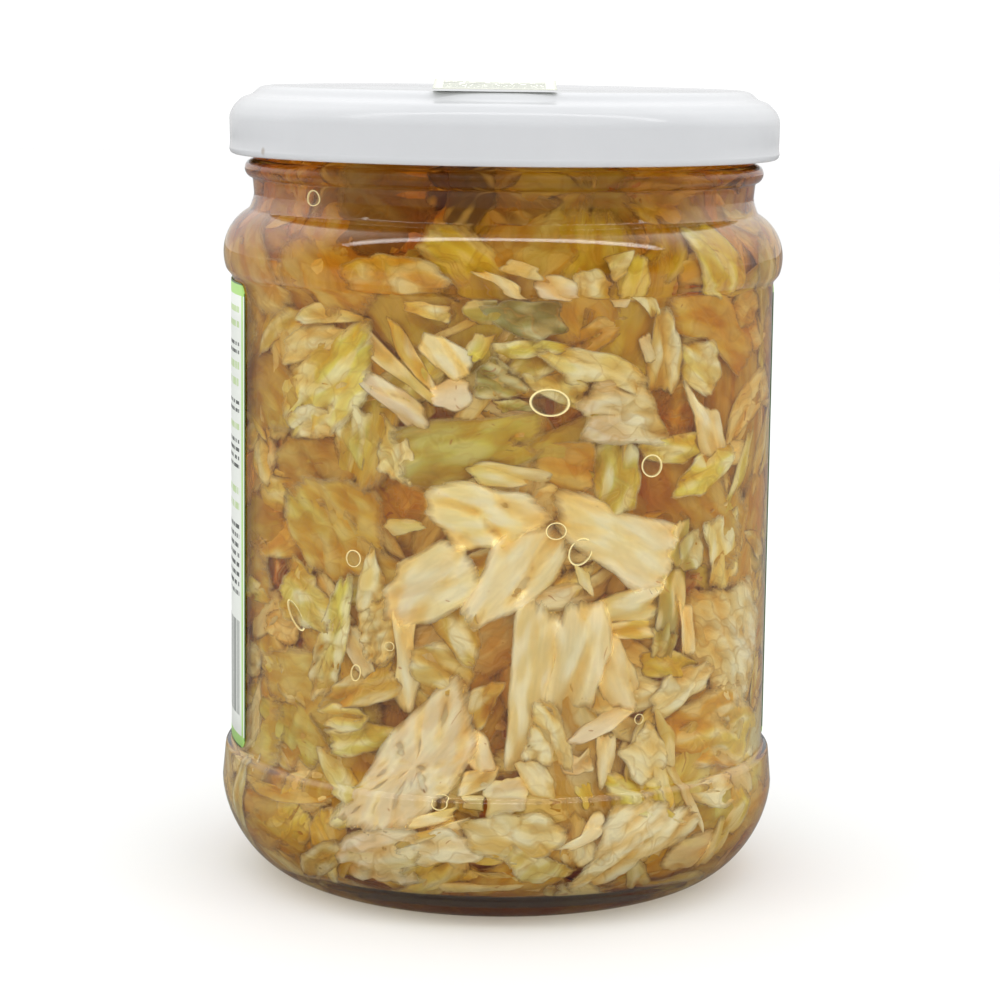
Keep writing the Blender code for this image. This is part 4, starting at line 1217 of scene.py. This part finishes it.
class Mass:
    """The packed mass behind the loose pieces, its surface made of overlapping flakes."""

    ROWS, COLUMNS, FLAKES = 180, 440, 900
    TINTS = ("golden", "pale", "yellow", "cream", "core", "moss")
    TINT_SHARES = (0.38, 0.14, 0.12, 0.04, 0.26, 0.06)

    def __init__(self, wall, packing, settings):
        draw = np.random.default_rng(settings.seed)
        self.wall = wall
        self.ways = np.linspace(1.5 * MM, wall.top - 1.0 * MM, self.ROWS)
        self.angles = np.arange(self.COLUMNS) * math.tau / self.COLUMNS
        across, up = np.meshgrid(self.angles * BODY_RADIUS, self.ways)
        girth = math.tau * BODY_RADIUS
        nearest = np.full(across.shape, np.inf)
        self.depth = np.zeros(across.shape)
        self.tone = np.zeros((*across.shape, 3))
        self.grain = np.zeros((*across.shape, 3))
        tints = [np.array(getattr(settings, name)) for name in self.TINTS]
        for _ in range(self.FLAKES):
            x, y = draw.uniform(0, girth), draw.uniform(0, self.wall.top)
            turn = draw.uniform(0, math.pi)
            length = draw.uniform(3, 7) * MM
            width = draw.uniform(1.6, 3.2) * MM
            tint = tints[draw.choice(len(tints), p=self.TINT_SHARES)] * draw.uniform(0.8, 1.1)
            level = draw.triangular(1.0, 2.0, settings.deepest / MM) * MM
            lean = draw.uniform(-0.35, 0.35, 2)
            right = (across - x + girth / 2) % girth - girth / 2
            near = (np.abs(right) < 2.5 * length) & (np.abs(up - y) < 2.5 * length)
            right, above = right[near], up[near] - y
            along = right * math.cos(turn) + above * math.sin(turn)
            aside = -right * math.sin(turn) + above * math.cos(turn)
            wobble = 0.25 * np.sin(along / (0.9 * MM) + x * 900)
            wobble = wobble + 0.2 * np.sin(aside / (0.6 * MM) + y * 700)
            distance = np.hypot(along / length, aside / width) * (1 + 0.5 * wobble)
            closer = distance < nearest[near]
            chosen = np.zeros(across.shape, bool)
            chosen[near] = closer
            nearest[chosen] = distance[closer]
            fold = 0.25 * MM * np.abs(np.sin(aside / (0.8 * MM) + x * 500))
            self.depth[chosen] = (level + lean[0] * along + lean[1] * aside + fold)[closer]
            self.tone[chosen] = tint
            start = np.array([x / MM * 3, y / MM * 3, 0])
            self.grain[chosen] = np.column_stack([along, aside, np.zeros(len(along))])[closer] / MM + start
        self.depth = np.clip(self.depth, 0.7 * MM, settings.deepest)
        column = (self.angles / packing.angle_step).astype(int) % packing.columns
        row = np.clip((self.ways / packing.way_step).astype(int), 0, packing.rows - 1)
        laid = packing.depth[np.ix_(column, row)].T
        self.depth = np.maximum(self.depth, laid + 0.1 * MM)

    def mesh(self, name):
        rows, columns = self.depth.shape
        angles, ways = np.meshgrid(self.angles, self.ways)
        points = self.wall.points(angles, ways, self.depth).reshape(-1, 3)
        low, high = points[:columns, 2].mean(), points[-columns:, 2].mean()
        points = np.vstack([[0, 0, low], points, [0, 0, high]])
        faces = ring_triangles(columns, rows)
        # Painted light: the caps turn a bright golden tone towards their middles, standing for light that
        # shines through the heap.
        middle = np.array([[0.8, 0.5, 0.16]])
        tone = np.vstack([middle, self.tone.reshape(-1, 3), middle])
        attributes = {
            "grain": ("FLOAT_VECTOR", "vector", np.vstack([middle, self.grain.reshape(-1, 3), middle])),
            "edge": ("FLOAT", "value", np.full(len(points), 0.5)),
            "tone": ("FLOAT_COLOR", "color", np.column_stack([tone, np.ones(len(points))])),
        }
        return triangle_mesh(name, points, faces, attributes)


def cabbage_material(name, clouds, gold, petals, edge_light, cover, edge_cover, scatter):
    """Wet cabbage. Cover is how much it hides of what is behind, edge_cover the share left at its edge, and
    scatter how much of its light spreads under its surface."""
    material, tree, shader = new_material(name, (0.7, 0.6, 0.35), 0.45)
    shader.inputs["Specular IOR Level"].default_value = 0.08
    # Painted light: the flesh glows in a warm copy of its own colour, at the glow strength set above.
    shader.inputs["Emission Strength"].default_value = GLOW
    if scatter > 0:
        shader.subsurface_method = "BURLEY"
        shader.inputs["Subsurface Weight"].default_value = scatter
        shader.inputs["Subsurface Radius"].default_value = (1.0, 0.7, 0.35)
        shader.inputs["Subsurface Scale"].default_value = 3.0 * MM
    group = bpy.data.node_groups["cabbage flesh"]
    flesh = placed_group(tree, group, Clouds=clouds, Gold=gold, Petals=petals, Edge_Light=edge_light)
    tree.links.new(flesh["Colour"], shader.inputs["Base Color"])
    warm = mixed(tree, 1.0, flesh["Colour"], (1.0, 0.55, 0.15, 1), "MULTIPLY")
    tree.links.new(warm, shader.inputs["Emission Color"])
    if petals > 0.5:
        bump(tree, shader, flesh["Height"], 0.28, 0.3 * MM)
    if edge_cover < 1:
        alpha = spread(tree, flesh["Edge Cover"], 0.0, 1.0, edge_cover * cover, cover)
        tree.links.new(alpha, shader.inputs["Alpha"])
    return material


# The forms of each kind, and its finish: clouds, gold, petals, painted edge light, cover, edge cover and
# scatter.
KINDS = {
    "cream_ribs": dict(forms=("rib", "slab"), finish=(0.7, 0.22, 0.12, 0.3, 1.0, 0.0, 0.75)),
    "pale_leaves": dict(forms=("leaf",), finish=(0.6, 0.7, 0.6, 0.6, 0.95, 0.0, 0.0)),
    "golden_films": dict(forms=("film",), finish=(0.15, 1.0, 0.4, 0.5, 0.8, 0.0, 0.0)),
    "fine_shreds": dict(forms=("shred",), finish=(0.6, 0.6, 0.3, 0.4, 1.0, 1.0, 0.0)),
    "crinkled_leaves": dict(forms=("crinkle",), finish=(0.4, 0.7, 0.8, 0.7, 0.95, 0.0, 0.0)),
    "cut_dice": dict(forms=("dice",), finish=(0.9, 0.5, 0.3, 0.4, 1.0, 1.0, 0.75)),
}


def prevailing(wall, angle, way, tone, draw):
    """The tone of a piece at a place: one that prevails round it, or the given one."""
    height = np.interp(way, wall.way, wall.height)
    if math.cos(angle) < 0.1:
        return tone
    across = BODY_RADIUS * math.sin(angle)
    for middle, up, reach, name, share in PATCHES:
        near = math.hypot(across / MM - middle, height / MM - up) < reach
        if near and draw.random() < share:
            return name
    return tone


def kind_of(form):
    for name, kind in KINDS.items():
        if form in kind["forms"]:
            return name
    raise RuntimeError(f"no kind holds the form {form}")


class JAR_OT_glass(bpy.types.Operator):
    """Turns the moulded glass, with its knurled foot and the ridge that the mould leaves"""

    bl_idname = "sauerkraut.glass"
    bl_label = "Turn the glass"

    def execute(self, context):
        settings = context.scene.glass_settings
        outline = [(0, FLOOR_HEIGHT + 0.5 * MM)] + cavity_side() + shell_outline()
        mesh = turned_mesh("glass", outline, settings.steps)
        for vertex in mesh.vertices:
            x, y, z = vertex.co
            out = math.hypot(x, y)
            if FOOT_INNER_RADIUS < out < FOOT_RADIUS + 1.5 * MM and 0.1 * MM < z < 1.2 * MM:
                turn = math.atan2(x, -y)
                tooth = 0.5 + 0.5 * math.cos(turn * settings.steps / 2)
                scale = 1 - settings.knurl * tooth / out
                vertex.co = (x * scale, y * scale, z)
            if out > BODY_RADIUS - 0.1 * MM and PANEL_BOTTOM < z < SHOULDER_HEIGHT:
                turn = math.degrees(math.atan2(x, -y))
                if abs(turn - SEAM_ANGLE) < 0.5 * 360 / settings.steps:
                    vertex.co = (x * (1 + SEAM_RISE / out), y * (1 + SEAM_RISE / out), z)
        material, tree, shader = new_material("clear glass", tuple(settings.tint), 0.0)
        shader.inputs["Transmission Weight"].default_value = 1.0
        shader.inputs["IOR"].default_value = 1.5
        marks = placed_group(tree, bpy.data.node_groups["fine marks"], Scale=0.7, Specks=0.0)
        bump(tree, shader, marks["Height"], 0.06, 0.4 * MM)
        clear_to_shadows(tree, shader, tuple(settings.shadow_tint))
        add_piece("glass_jar", mesh, material, "clear_glass", "jar")
        return {"FINISHED"}


class JAR_OT_brine(bpy.types.Operator):
    """Pours the brine, which reaches just into the glass"""

    bl_idname = "sauerkraut.brine"
    bl_label = "Pour the brine"

    def execute(self, context):
        settings = context.scene.brine_settings
        side = [(r + settings.overlap, z) for r, z in cavity_side() if z < settings.top]
        side = [(r, z - settings.overlap if z < FLOOR_HEIGHT + 1 * MM else z) for r, z in side]
        side.reverse()
        outline = [(0, settings.top), (side[0][0] - 0.5 * MM, settings.top)] + side
        outline += [(0, FLOOR_HEIGHT + 0.5 * MM - settings.overlap)]
        mesh = turned_mesh("brine", outline, context.scene.glass_settings.steps)
        material, tree, shader = new_material("brine", (1, 1, 1), 0.0)
        shader.inputs["Transmission Weight"].default_value = 1.0
        shader.inputs["IOR"].default_value = 1.34
        absorb = node(tree, "ShaderNodeVolumeAbsorption")
        absorb.inputs["Color"].default_value = (*settings.colour, 1)
        absorb.inputs["Density"].default_value = settings.density
        tree.links.new(absorb.outputs["Volume"], tree.nodes["Material Output"].inputs["Volume"])
        clear_to_shadows(tree, shader, (1, 1, 1))
        add_piece("brine", mesh, material, "brine", "sauerkraut")
        return {"FINISHED"}


class JAR_OT_cabbage(bpy.types.Operator):
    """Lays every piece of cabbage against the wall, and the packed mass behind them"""

    bl_idname = "sauerkraut.cabbage"
    bl_label = "Pack the cabbage"

    def execute(self, context):
        settings = context.scene.cabbage_settings
        draw = random.Random(settings.seed)
        wall = Wall(cavity_side())
        packing = Packing(wall, settings.cell)
        heaps = {name: Heap() for name in KINDS}
        tones = colours()

        def lay(form, tone, cut, angle, way, turn, touch, fine):
            front = packing.lay(cut, angle % math.tau, way, turn, touch)
            if front is None:
                return
            pair = []
            for name in (tone, draw.choice(NEXT_TONES[tone])):
                tint = tones[name] * draw.uniform(0.88, 1.1)
                tint = tint * np.array([1, draw.uniform(0.96, 1.03), draw.uniform(0.8, 1.2)])
                pair.append(np.clip(tint, 0, 0.9))
            heaps[kind_of(form)].add(cut, wall, front, angle % math.tau, way, turn, pair, draw, fine)

        for across, up, length, width, turn in BUBBLES:
            angle, way = wall.seen_at(across * MM, up * MM)
            packing.hollow(angle % math.tau, way, 0.4 * length * MM, BUBBLE_DEPTH)
        for form, tone, touch, corners in FRONT_PIECES:
            angle, way, turn, length, width, shares = wall.unrolled(corners)
            cut = Cut(form, length * TUCKED, width * TUCKED, draw, shares)
            lay(form, tone, cut, angle, way, turn, touch * MM, True)
        packing.depth[packing.depth > 0] += 0.15 * MM
        gaps = [(*wall.seen_at(across * MM, up * MM), reach * MM) for across, up, reach in GAPS]
        for angle, way, reach in gaps:
            packing.hollow(angle % math.tau, way, reach, HOLLOW * MM)
        choices = [row[:2] for row in FILLING]
        weights = [row[2] for row in FILLING]
        for i in range(settings.count):
            places = [(draw.uniform(0, math.tau), draw.uniform(0, wall.top)) for _ in range(5)]
            angle, way = min(places, key=lambda place: packing.depth_near(*place))
            form, tone = draw.choices(choices, weights)[0]
            tone = prevailing(wall, angle, way, tone, draw)
            length = draw.uniform(*FORMS[form]["length"]) * MM
            width = draw.uniform(*FORMS[form]["width"]) * MM
            turn = math.radians(draw.gauss(0, 55) + 10)
            height = np.interp(way, wall.way, wall.height)
            sunk = np.interp(height, [up * MM for up, _ in SUNK], [deeper for _, deeper in SUNK])
            touch = max(draw.uniform(0.2, 1.3) + sunk, 0.1) * MM
            lay(form, tone, Cut(form, length, width, draw), angle, way, turn, touch, False)
        for name, heap in heaps.items():
            material = cabbage_material(name.replace("_", " "), *KINDS[name]["finish"])
            add_piece(name, heap.mesh(name), material, "pickled_cabbage", "sauerkraut")
        mesh = Mass(wall, packing, settings).mesh("packed_mass")
        material = cabbage_material("packed mass", 0.4, 1.0, 0.8, 0.0, 1.0, 1.0, 0.0)
        add_piece("packed_mass", mesh, material, "pickled_cabbage", "sauerkraut")
        return {"FINISHED"}


class JAR_OT_bubbles(bpy.types.Operator):
    """Sets the air bubbles caught between the glass and the cabbage, their rims given a painted highlight and
    glow
    """

    bl_idname = "sauerkraut.bubbles"
    bl_label = "Catch the bubbles"

    def execute(self, context):
        wall = Wall(cavity_side())
        sides, rings = 28, 12
        points, triangles, edges = [], [], []
        count = 0
        for across, up, length, width, turn in BUBBLES:
            angle, way = wall.seen_at(across * MM, up * MM)
            radius = wall.radius_at(way)
            polar = np.linspace(0, math.pi, rings + 1)[1:-1]
            turns = np.arange(sides) * math.tau / sides
            out = np.concatenate([[0], np.repeat(np.sin(polar), sides), [0]])
            level = np.concatenate([[1], np.repeat(np.cos(polar), sides), [-1]])
            round_turn = np.concatenate([[0], np.tile(turns, rings - 1), [0]])
            x = out * np.cos(round_turn) * length / 2 * MM
            y = out * np.sin(round_turn) * width / 2 * MM
            tilt = math.radians(turn)
            right, above = x * math.cos(tilt) - y * math.sin(tilt), x * math.sin(tilt) + y * math.cos(tilt)
            depth = 0.03 * MM + BUBBLE_DEPTH * np.where(level > 0, 0.15 * (1 - level), 0.15 - 0.85 * level)
            points.append(wall.points(angle + right / radius, way + above, depth))
            edges.append(out)
            triangles.append(ring_triangles(sides, rings - 1) + count)
            count += 2 + (rings - 1) * sides
        attributes = {"edge": ("FLOAT", "value", np.concatenate(edges))}
        mesh = triangle_mesh("bubbles", np.concatenate(points), np.concatenate(triangles), attributes)
        # Painted highlight: the rims are coloured bright and made to glow, against a deep brown, mostly clear
        # middle.
        material, tree, shader = new_material("air", (0.9, 0.8, 0.5), 0.3)
        shader.inputs["Emission Strength"].default_value = 0.35
        edge = node(tree, "ShaderNodeAttribute", attribute_name="edge").outputs["Fac"]
        rim = spread(tree, edge, 0.83, 0.92)
        colour = mixed(tree, rim, (0.30, 0.22, 0.12, 1), (0.92, 0.82, 0.52, 1))
        shine = mixed(tree, rim, (0, 0, 0, 1), (0.92, 0.82, 0.45, 1))
        tree.links.new(colour, shader.inputs["Base Color"])
        tree.links.new(shine, shader.inputs["Emission Color"])
        tree.links.new(spread(tree, rim, 0.0, 1.0, 0.10, 0.85), shader.inputs["Alpha"])
        add_piece("air_bubbles", mesh, material, "brine")
        return {"FINISHED"}


class JAR_OT_lid(bpy.types.Operator):
    """Turns the enamelled lid"""

    bl_idname = "sauerkraut.lid"
    bl_label = "Turn the lid"

    def execute(self, context):
        settings = context.scene.lid_settings
        mesh = turned_mesh("lid", lid_outline(), settings.steps)
        mesh.set_sharp_from_angle(angle=math.radians(50))
        material, tree, shader = new_material("white enamel", tuple(settings.colour), 0.16)
        marks = placed_group(tree, bpy.data.node_groups["fine marks"], Scale=1.0, Specks=0.012)
        thin = spread(tree, marks["Unevenness"], 0.35, 0.65, 0.0, 0.10)
        cloud = mixed(tree, thin, (*settings.colour, 1), (0.78, 0.78, 0.79, 1))
        colour = mixed(tree, marks["Dust"], cloud, (0.42, 0.38, 0.34, 1))
        tree.links.new(colour, shader.inputs["Base Color"])
        tree.links.new(spread(tree, marks["Unevenness"], 0.3, 0.7, 0.12, 0.24), shader.inputs["Roughness"])
        bump(tree, shader, marks["Height"], 0.05, 0.5 * MM)
        add_piece("enamel_lid", mesh, material, "white_enamel", "lid")
        return {"FINISHED"}


def paper_mesh(name, columns, rows, outer, inner, sheet):
    """A thin closed sheet between two grids of points, with its own flat coordinates as an attribute."""
    count = (columns + 1) * (rows + 1)
    i, j = np.meshgrid(np.arange(columns), np.arange(rows), indexing="ij")
    a = (i * (rows + 1) + j).ravel()
    b, c, d = a + rows + 1, a + rows + 2, a + 1
    faces = [np.column_stack([a, b, c]), np.column_stack([a, c, d])]
    faces += [np.column_stack([a, c, b]) + count, np.column_stack([a, d, c]) + count]
    edge = [k * (rows + 1) for k in range(columns)]
    edge += [columns * (rows + 1) + k for k in range(rows)]
    edge += [k * (rows + 1) + rows for k in range(columns, 0, -1)]
    edge += list(range(rows, 0, -1))
    edge = np.array(edge)
    after = np.roll(edge, -1)
    faces.append(np.column_stack([edge, edge + count, after + count]))
    faces.append(np.column_stack([edge, after + count, after]))
    attributes = {"sheet": ("FLOAT_VECTOR", "vector", np.vstack([sheet, sheet]))}
    return triangle_mesh(name, np.vstack([outer, inner]), np.concatenate(faces), attributes)


class JAR_OT_label(bpy.types.Operator):
    """Wraps the paper label round the back of the glass, with generic print"""

    bl_idname = "sauerkraut.label"
    bl_label = "Wrap the label"

    # The plain field, the end bands, the bar field, the border line and the outline, in millimetres.
    FIELD_SIDES, FIELD_ENDS = (48.0, 94.0), (26.0, 64.0)
    BAND = 1.9
    BARS_FROM_END, BARS_HEIGHT = (14.0, 3.0), (5.0, 20.0)
    LINE, OUTLINE = (0.9, 1.7), 0.25

    # Generic blocks of lines: colour, left, right, bottom and top in millimetres, row height.
    BLOCKS = (
        ("pale_green", 100, 149, 68.2, 70.2, 2.1),
        ("pale_green", 100, 149, 65.9, 67.9, 2.1),
        ("ink", 100, 149, 61.8, 64.2, 1.25),
        ("pale_green", 100, 149, 56.8, 61.2, 2.6),
        ("ink", 100, 149, 52.7, 55.1, 1.25),
        ("pale_green", 100, 149, 50.0, 52.0, 2.1),
        ("ink", 100, 149, 44.0, 48.9, 1.3),
        ("pale_green", 100, 149, 37.5, 42.0, 2.4),
        ("ink", 100, 149, 24.0, 35.5, 1.5),
        ("ink", 4, 40, 10, 40, 1.8),
        ("leaf_green", 4, 40, 44, 56, 3.0),
        ("ink", 52, 92, 8, 20, 2.0),
    )

    def execute(self, context):
        settings = context.scene.paper_settings
        columns, rows = 180, 12
        width = math.radians(LABEL_LEFT_ANGLE - LABEL_RIGHT_ANGLE) * BODY_RADIUS
        height = LABEL_TOP - LABEL_BOTTOM
        grids = []
        for radius in (BODY_RADIUS + LABEL_LIFT + PAPER, BODY_RADIUS + LABEL_LIFT):
            grid, sheet = [], []
            for i in range(columns + 1):
                along = 0.5 * width * (1 - math.cos(math.pi * i / columns))
                near_end = min(along, width - along)
                cut_in = 0.0
                if near_end < LABEL_CORNER:
                    cut_in = LABEL_CORNER - math.sqrt(LABEL_CORNER**2 - (LABEL_CORNER - near_end) ** 2)
                turn = math.radians(LABEL_RIGHT_ANGLE) + along / BODY_RADIUS
                for j in range(rows + 1):
                    up = cut_in + (height - 2 * cut_in) * j / rows
                    grid.append((radius * math.sin(turn), -radius * math.cos(turn), LABEL_BOTTOM + up))
                    sheet.append((along / MM, up / MM, 0))
            grids.append(np.array(grid))
        mesh = paper_mesh("label", columns, rows, grids[0], grids[1], np.array(sheet))
        material, tree, shader = new_material("label paper", tuple(settings.paper), 0.42)
        colour = self.printed(tree, settings, width / MM, height / MM)
        tree.links.new(colour, shader.inputs["Base Color"])
        fibre = noise(tree, node(tree, "ShaderNodeTexCoord").outputs["Object"], 2600.0, 3.0, 0.6)
        bump(tree, shader, fibre, 0.12, 0.05 * MM)
        add_piece("paper_label", mesh, material, "label_paper", "label")
        return {"FINISHED"}

    def printed(self, tree, settings, width, height):
        """The label's colour: a lined border, bands at top and bottom, a plain field and blocks of lines."""
        sheet = node(tree, "ShaderNodeAttribute", attribute_name="sheet").outputs["Vector"]
        parts = node(tree, "ShaderNodeSeparateXYZ")
        tree.links.new(sheet, parts.inputs["Vector"])
        along, up = parts.outputs["X"], parts.outputs["Y"]
        from_side = maths(tree, "MINIMUM", along, maths(tree, "SUBTRACT", width, along))
        from_end = maths(tree, "MINIMUM", up, maths(tree, "SUBTRACT", height, up))
        inset = maths(tree, "MINIMUM", from_side, from_end)
        paper = mixed(tree, noise(tree, sheet, 0.08, 2.0), (*settings.paper, 1), (0.80, 0.84, 0.77, 1))
        band = maths(tree, "LESS_THAN", from_end, self.BAND)
        colour = mixed(tree, band, paper, (*settings.leaf_green, 1))
        field = product(tree, between(tree, along, *self.FIELD_SIDES), between(tree, up, *self.FIELD_ENDS))
        colour = mixed(tree, field, colour, (0.30, 0.52, 0.14, 1))
        group = bpy.data.node_groups["print block"]
        for number, (ink, left, right, bottom, top, row) in enumerate(self.BLOCKS):
            block = placed_group(
                tree, group, Left=left, Right=right, Bottom=bottom, Top=top, Row=row, Seed=float(number)
            )
            colour = mixed(tree, block["Ink"], colour, (*getattr(settings, ink), 1))
        grain = noise(tree, scaled(tree, sheet, 1.0, 0.0, 0.0), 1.1, 2.0, 0.9)
        stripes = maths(tree, "GREATER_THAN", grain, 0.5)
        near, far = (width - margin for margin in self.BARS_FROM_END)
        bars = product(tree, between(tree, along, near, far), between(tree, up, *self.BARS_HEIGHT))
        colour = mixed(tree, product(tree, bars, stripes), colour, (*settings.ink, 1))
        colour = mixed(tree, between(tree, inset, *self.LINE), colour, (*settings.leaf_green, 1))
        outline = maths(tree, "LESS_THAN", inset, self.OUTLINE)
        return mixed(tree, outline, colour, (*settings.line_green, 1))


class JAR_OT_sticker(bpy.types.Operator):
    """Lays the small sticker on the lid, its rear edge curling up"""

    bl_idname = "sauerkraut.sticker"
    bl_label = "Stick the sticker"

    def execute(self, context):
        settings = context.scene.paper_settings
        columns, lines = 24, 24
        grids = []
        for height in (LID_TOP + STICKER_GAP + PAPER, LID_TOP + STICKER_GAP):
            grid, sheet = [], []
            for i in range(columns + 1):
                for j in range(lines + 1):
                    side, back = i / columns, j / lines
                    x = STICKER_X + STICKER_WIDTH * (side - 0.5)
                    lift = STICKER_LIFT * back**2 + 0.12 * MM * math.sin(5 * side + 1.5) * back
                    grid.append((x, STICKER_FRONT + STICKER_DEPTH * back, height + lift))
                    sheet.append((side * STICKER_WIDTH / MM, back * STICKER_DEPTH / MM, 0))
            grids.append(np.array(grid))
        mesh = paper_mesh("sticker", columns, lines, grids[0], grids[1], np.array(sheet))
        material, tree, shader = new_material("sticker paper", tuple(settings.sticker), 0.6)
        group = bpy.data.node_groups["print block"]
        rows = placed_group(
            tree, group, Left=1.4, Right=16.4, Bottom=2.0, Top=12.0, Row=1.6, Fill=0.42, Seed=30.0
        )
        faded = product(tree, rows["Ink"], 0.8)
        colour = mixed(tree, faded, (*settings.sticker, 1), (*settings.ink, 1))
        tree.links.new(colour, shader.inputs["Base Color"])
        fibre = noise(tree, node(tree, "ShaderNodeTexCoord").outputs["Object"], 1900.0, 3.0, 0.6)
        bump(tree, shader, fibre, 0.2, 0.05 * MM)
        add_piece("paper_sticker", mesh, material, "sticker_paper", "lid_sticker")
        return {"FINISHED"}


class JAR_OT_stage(bpy.types.Operator):
    """Sets the floor, the light and the camera"""

    bl_idname = "sauerkraut.stage"
    bl_label = "Set the stage"

    def execute(self, context):
        settings = context.scene.stage_settings
        half = settings.floor / 2
        corners = [(-half, -half, 0), (half, -half, 0), (half, half, 0), (-half, half, 0)]
        mesh = bpy.data.meshes.new("floor")
        mesh.from_pydata(corners, [], [(0, 1, 2, 3)])
        material, tree, shader = new_material("pale floor", (0.88, 0.88, 0.88), 0.7)
        shader.inputs["Specular IOR Level"].default_value = 0.1
        # Painted reflection: where the floor shows in reflections it is coloured deep grey instead of pale.
        glossy = node(tree, "ShaderNodeLightPath").outputs["Is Glossy Ray"]
        colour = mixed(tree, glossy, (0.88, 0.88, 0.88, 1), (0.25, 0.25, 0.25, 1))
        tree.links.new(colour, shader.inputs["Base Color"])
        mesh.materials.append(material)
        floor = bpy.data.objects.new("floor", mesh)
        context.scene.collection.objects.link(floor)
        self.light_world(context, settings)
        self.hang_lamp(context, settings)
        self.set_camera(context, settings)
        scene = context.scene
        scene.view_settings.view_transform = "Standard"
        scene.cycles.max_bounces = 8
        scene.cycles.diffuse_bounces = 2
        scene.cycles.glossy_bounces = 3
        scene.cycles.transmission_bounces = 7
        scene.cycles.transparent_max_bounces = 8
        scene.cycles.volume_bounces = 0
        scene.cycles.sample_clamp_indirect = 6.0
        scene.cycles.caustics_reflective = False
        scene.cycles.caustics_refractive = False
        return {"FINISHED"}

    def light_world(self, context, settings):
        """A white studio: brighter from above, dim in reflections, plain white behind the floor."""
        world = bpy.data.worlds.new("studio")
        context.scene.world = world
        world.use_nodes = True
        tree = world.node_tree
        shader = tree.nodes["Background"]
        shader.inputs["Color"].default_value = (1, 1, 1, 1)
        up = node(tree, "ShaderNodeSeparateXYZ")
        tree.links.new(node(tree, "ShaderNodeTexCoord").outputs["Generated"], up.inputs["Vector"])
        strength = spread(tree, up.outputs["Z"], 0.05, 0.85, settings.horizon, settings.sky)
        front = spread(tree, up.outputs["Y"], -0.2, 0.3, settings.front_gloss, settings.back_gloss)
        path = node(tree, "ShaderNodeLightPath")
        glossy = product(tree, strength, front)
        dimmed = either_value(tree, path.outputs["Is Glossy Ray"], strength, glossy)
        made = either_value(tree, path.outputs["Is Camera Ray"], dimmed, 1.2)
        tree.links.new(made, shader.inputs["Strength"])

    def hang_lamp(self, context, settings):
        light = bpy.data.lights.new("overhead", "AREA")
        light.shape = "RECTANGLE"
        light.size, light.size_y = 1.8, 0.10
        light.energy = settings.lamp
        lamp = bpy.data.objects.new("overhead", light)
        lamp.location = (0.0, -0.22, 0.75)
        aim = Vector((0, 0, 0.08)) - lamp.location
        lamp.rotation_euler = aim.to_track_quat("-Z", "Y").to_euler()
        context.scene.collection.objects.link(lamp)

    def set_camera(self, context, settings):
        data = bpy.data.cameras.new("camera")
        data.lens = settings.lens
        data.sensor_width = 36.0
        data.clip_start = 0.01
        camera = bpy.data.objects.new("camera", data)
        turn = Matrix.Rotation(math.radians(90) - settings.pitch, 4, "X")
        turn = turn @ Matrix.Rotation(settings.roll, 4, "Z")
        camera.matrix_world = Matrix.Translation((0, -settings.distance, settings.eye)) @ turn
        context.scene.collection.objects.link(camera)
        context.scene.camera = camera


class JAR_PT_panel(bpy.types.Panel):
    """Lists the jar's settings and the steps that build it"""

    bl_idname = "JAR_PT_panel"
    bl_label = "Jar of sauerkraut"
    bl_space_type = "VIEW_3D"
    bl_region_type = "UI"
    bl_category = "Sauerkraut"

    def draw(self, context):
        scene = context.scene
        for name in SETTINGS:
            box = self.layout.box()
            box.label(text=name.replace("_", " ").capitalize())
            group = getattr(scene, name)
            for prop in group.bl_rna.properties:
                if prop.identifier not in ("rna_type", "name"):
                    box.prop(group, prop.identifier)
        for operator in OPERATORS:
            self.layout.operator(operator.bl_idname)


SETTINGS = {
    "glass_settings": GlassSettings,
    "brine_settings": BrineSettings,
    "cabbage_settings": CabbageSettings,
    "lid_settings": LidSettings,
    "paper_settings": PaperSettings,
    "stage_settings": StageSettings,
}
OPERATORS = (
    JAR_OT_stage,
    JAR_OT_glass,
    JAR_OT_brine,
    JAR_OT_cabbage,
    JAR_OT_bubbles,
    JAR_OT_lid,
    JAR_OT_label,
    JAR_OT_sticker,
)


def register():
    for name, group in SETTINGS.items():
        bpy.utils.register_class(group)
        setattr(bpy.types.Scene, name, PointerProperty(type=group))
    for operator in OPERATORS:
        bpy.utils.register_class(operator)
    bpy.utils.register_class(JAR_PT_panel)


def unregister():
    bpy.utils.unregister_class(JAR_PT_panel)
    for operator in reversed(OPERATORS):
        bpy.utils.unregister_class(operator)
    for name, group in SETTINGS.items():
        delattr(bpy.types.Scene, name)
        bpy.utils.unregister_class(group)


def main():
    register()
    fine_marks_group()
    cabbage_flesh_group()
    print_block_group()
    bpy.ops.sauerkraut.stage()
    bpy.ops.sauerkraut.glass()
    bpy.ops.sauerkraut.brine()
    bpy.ops.sauerkraut.cabbage()
    bpy.ops.sauerkraut.bubbles()
    bpy.ops.sauerkraut.lid()
    bpy.ops.sauerkraut.label()
    bpy.ops.sauerkraut.sticker()


if __name__ == "__main__":
    main()
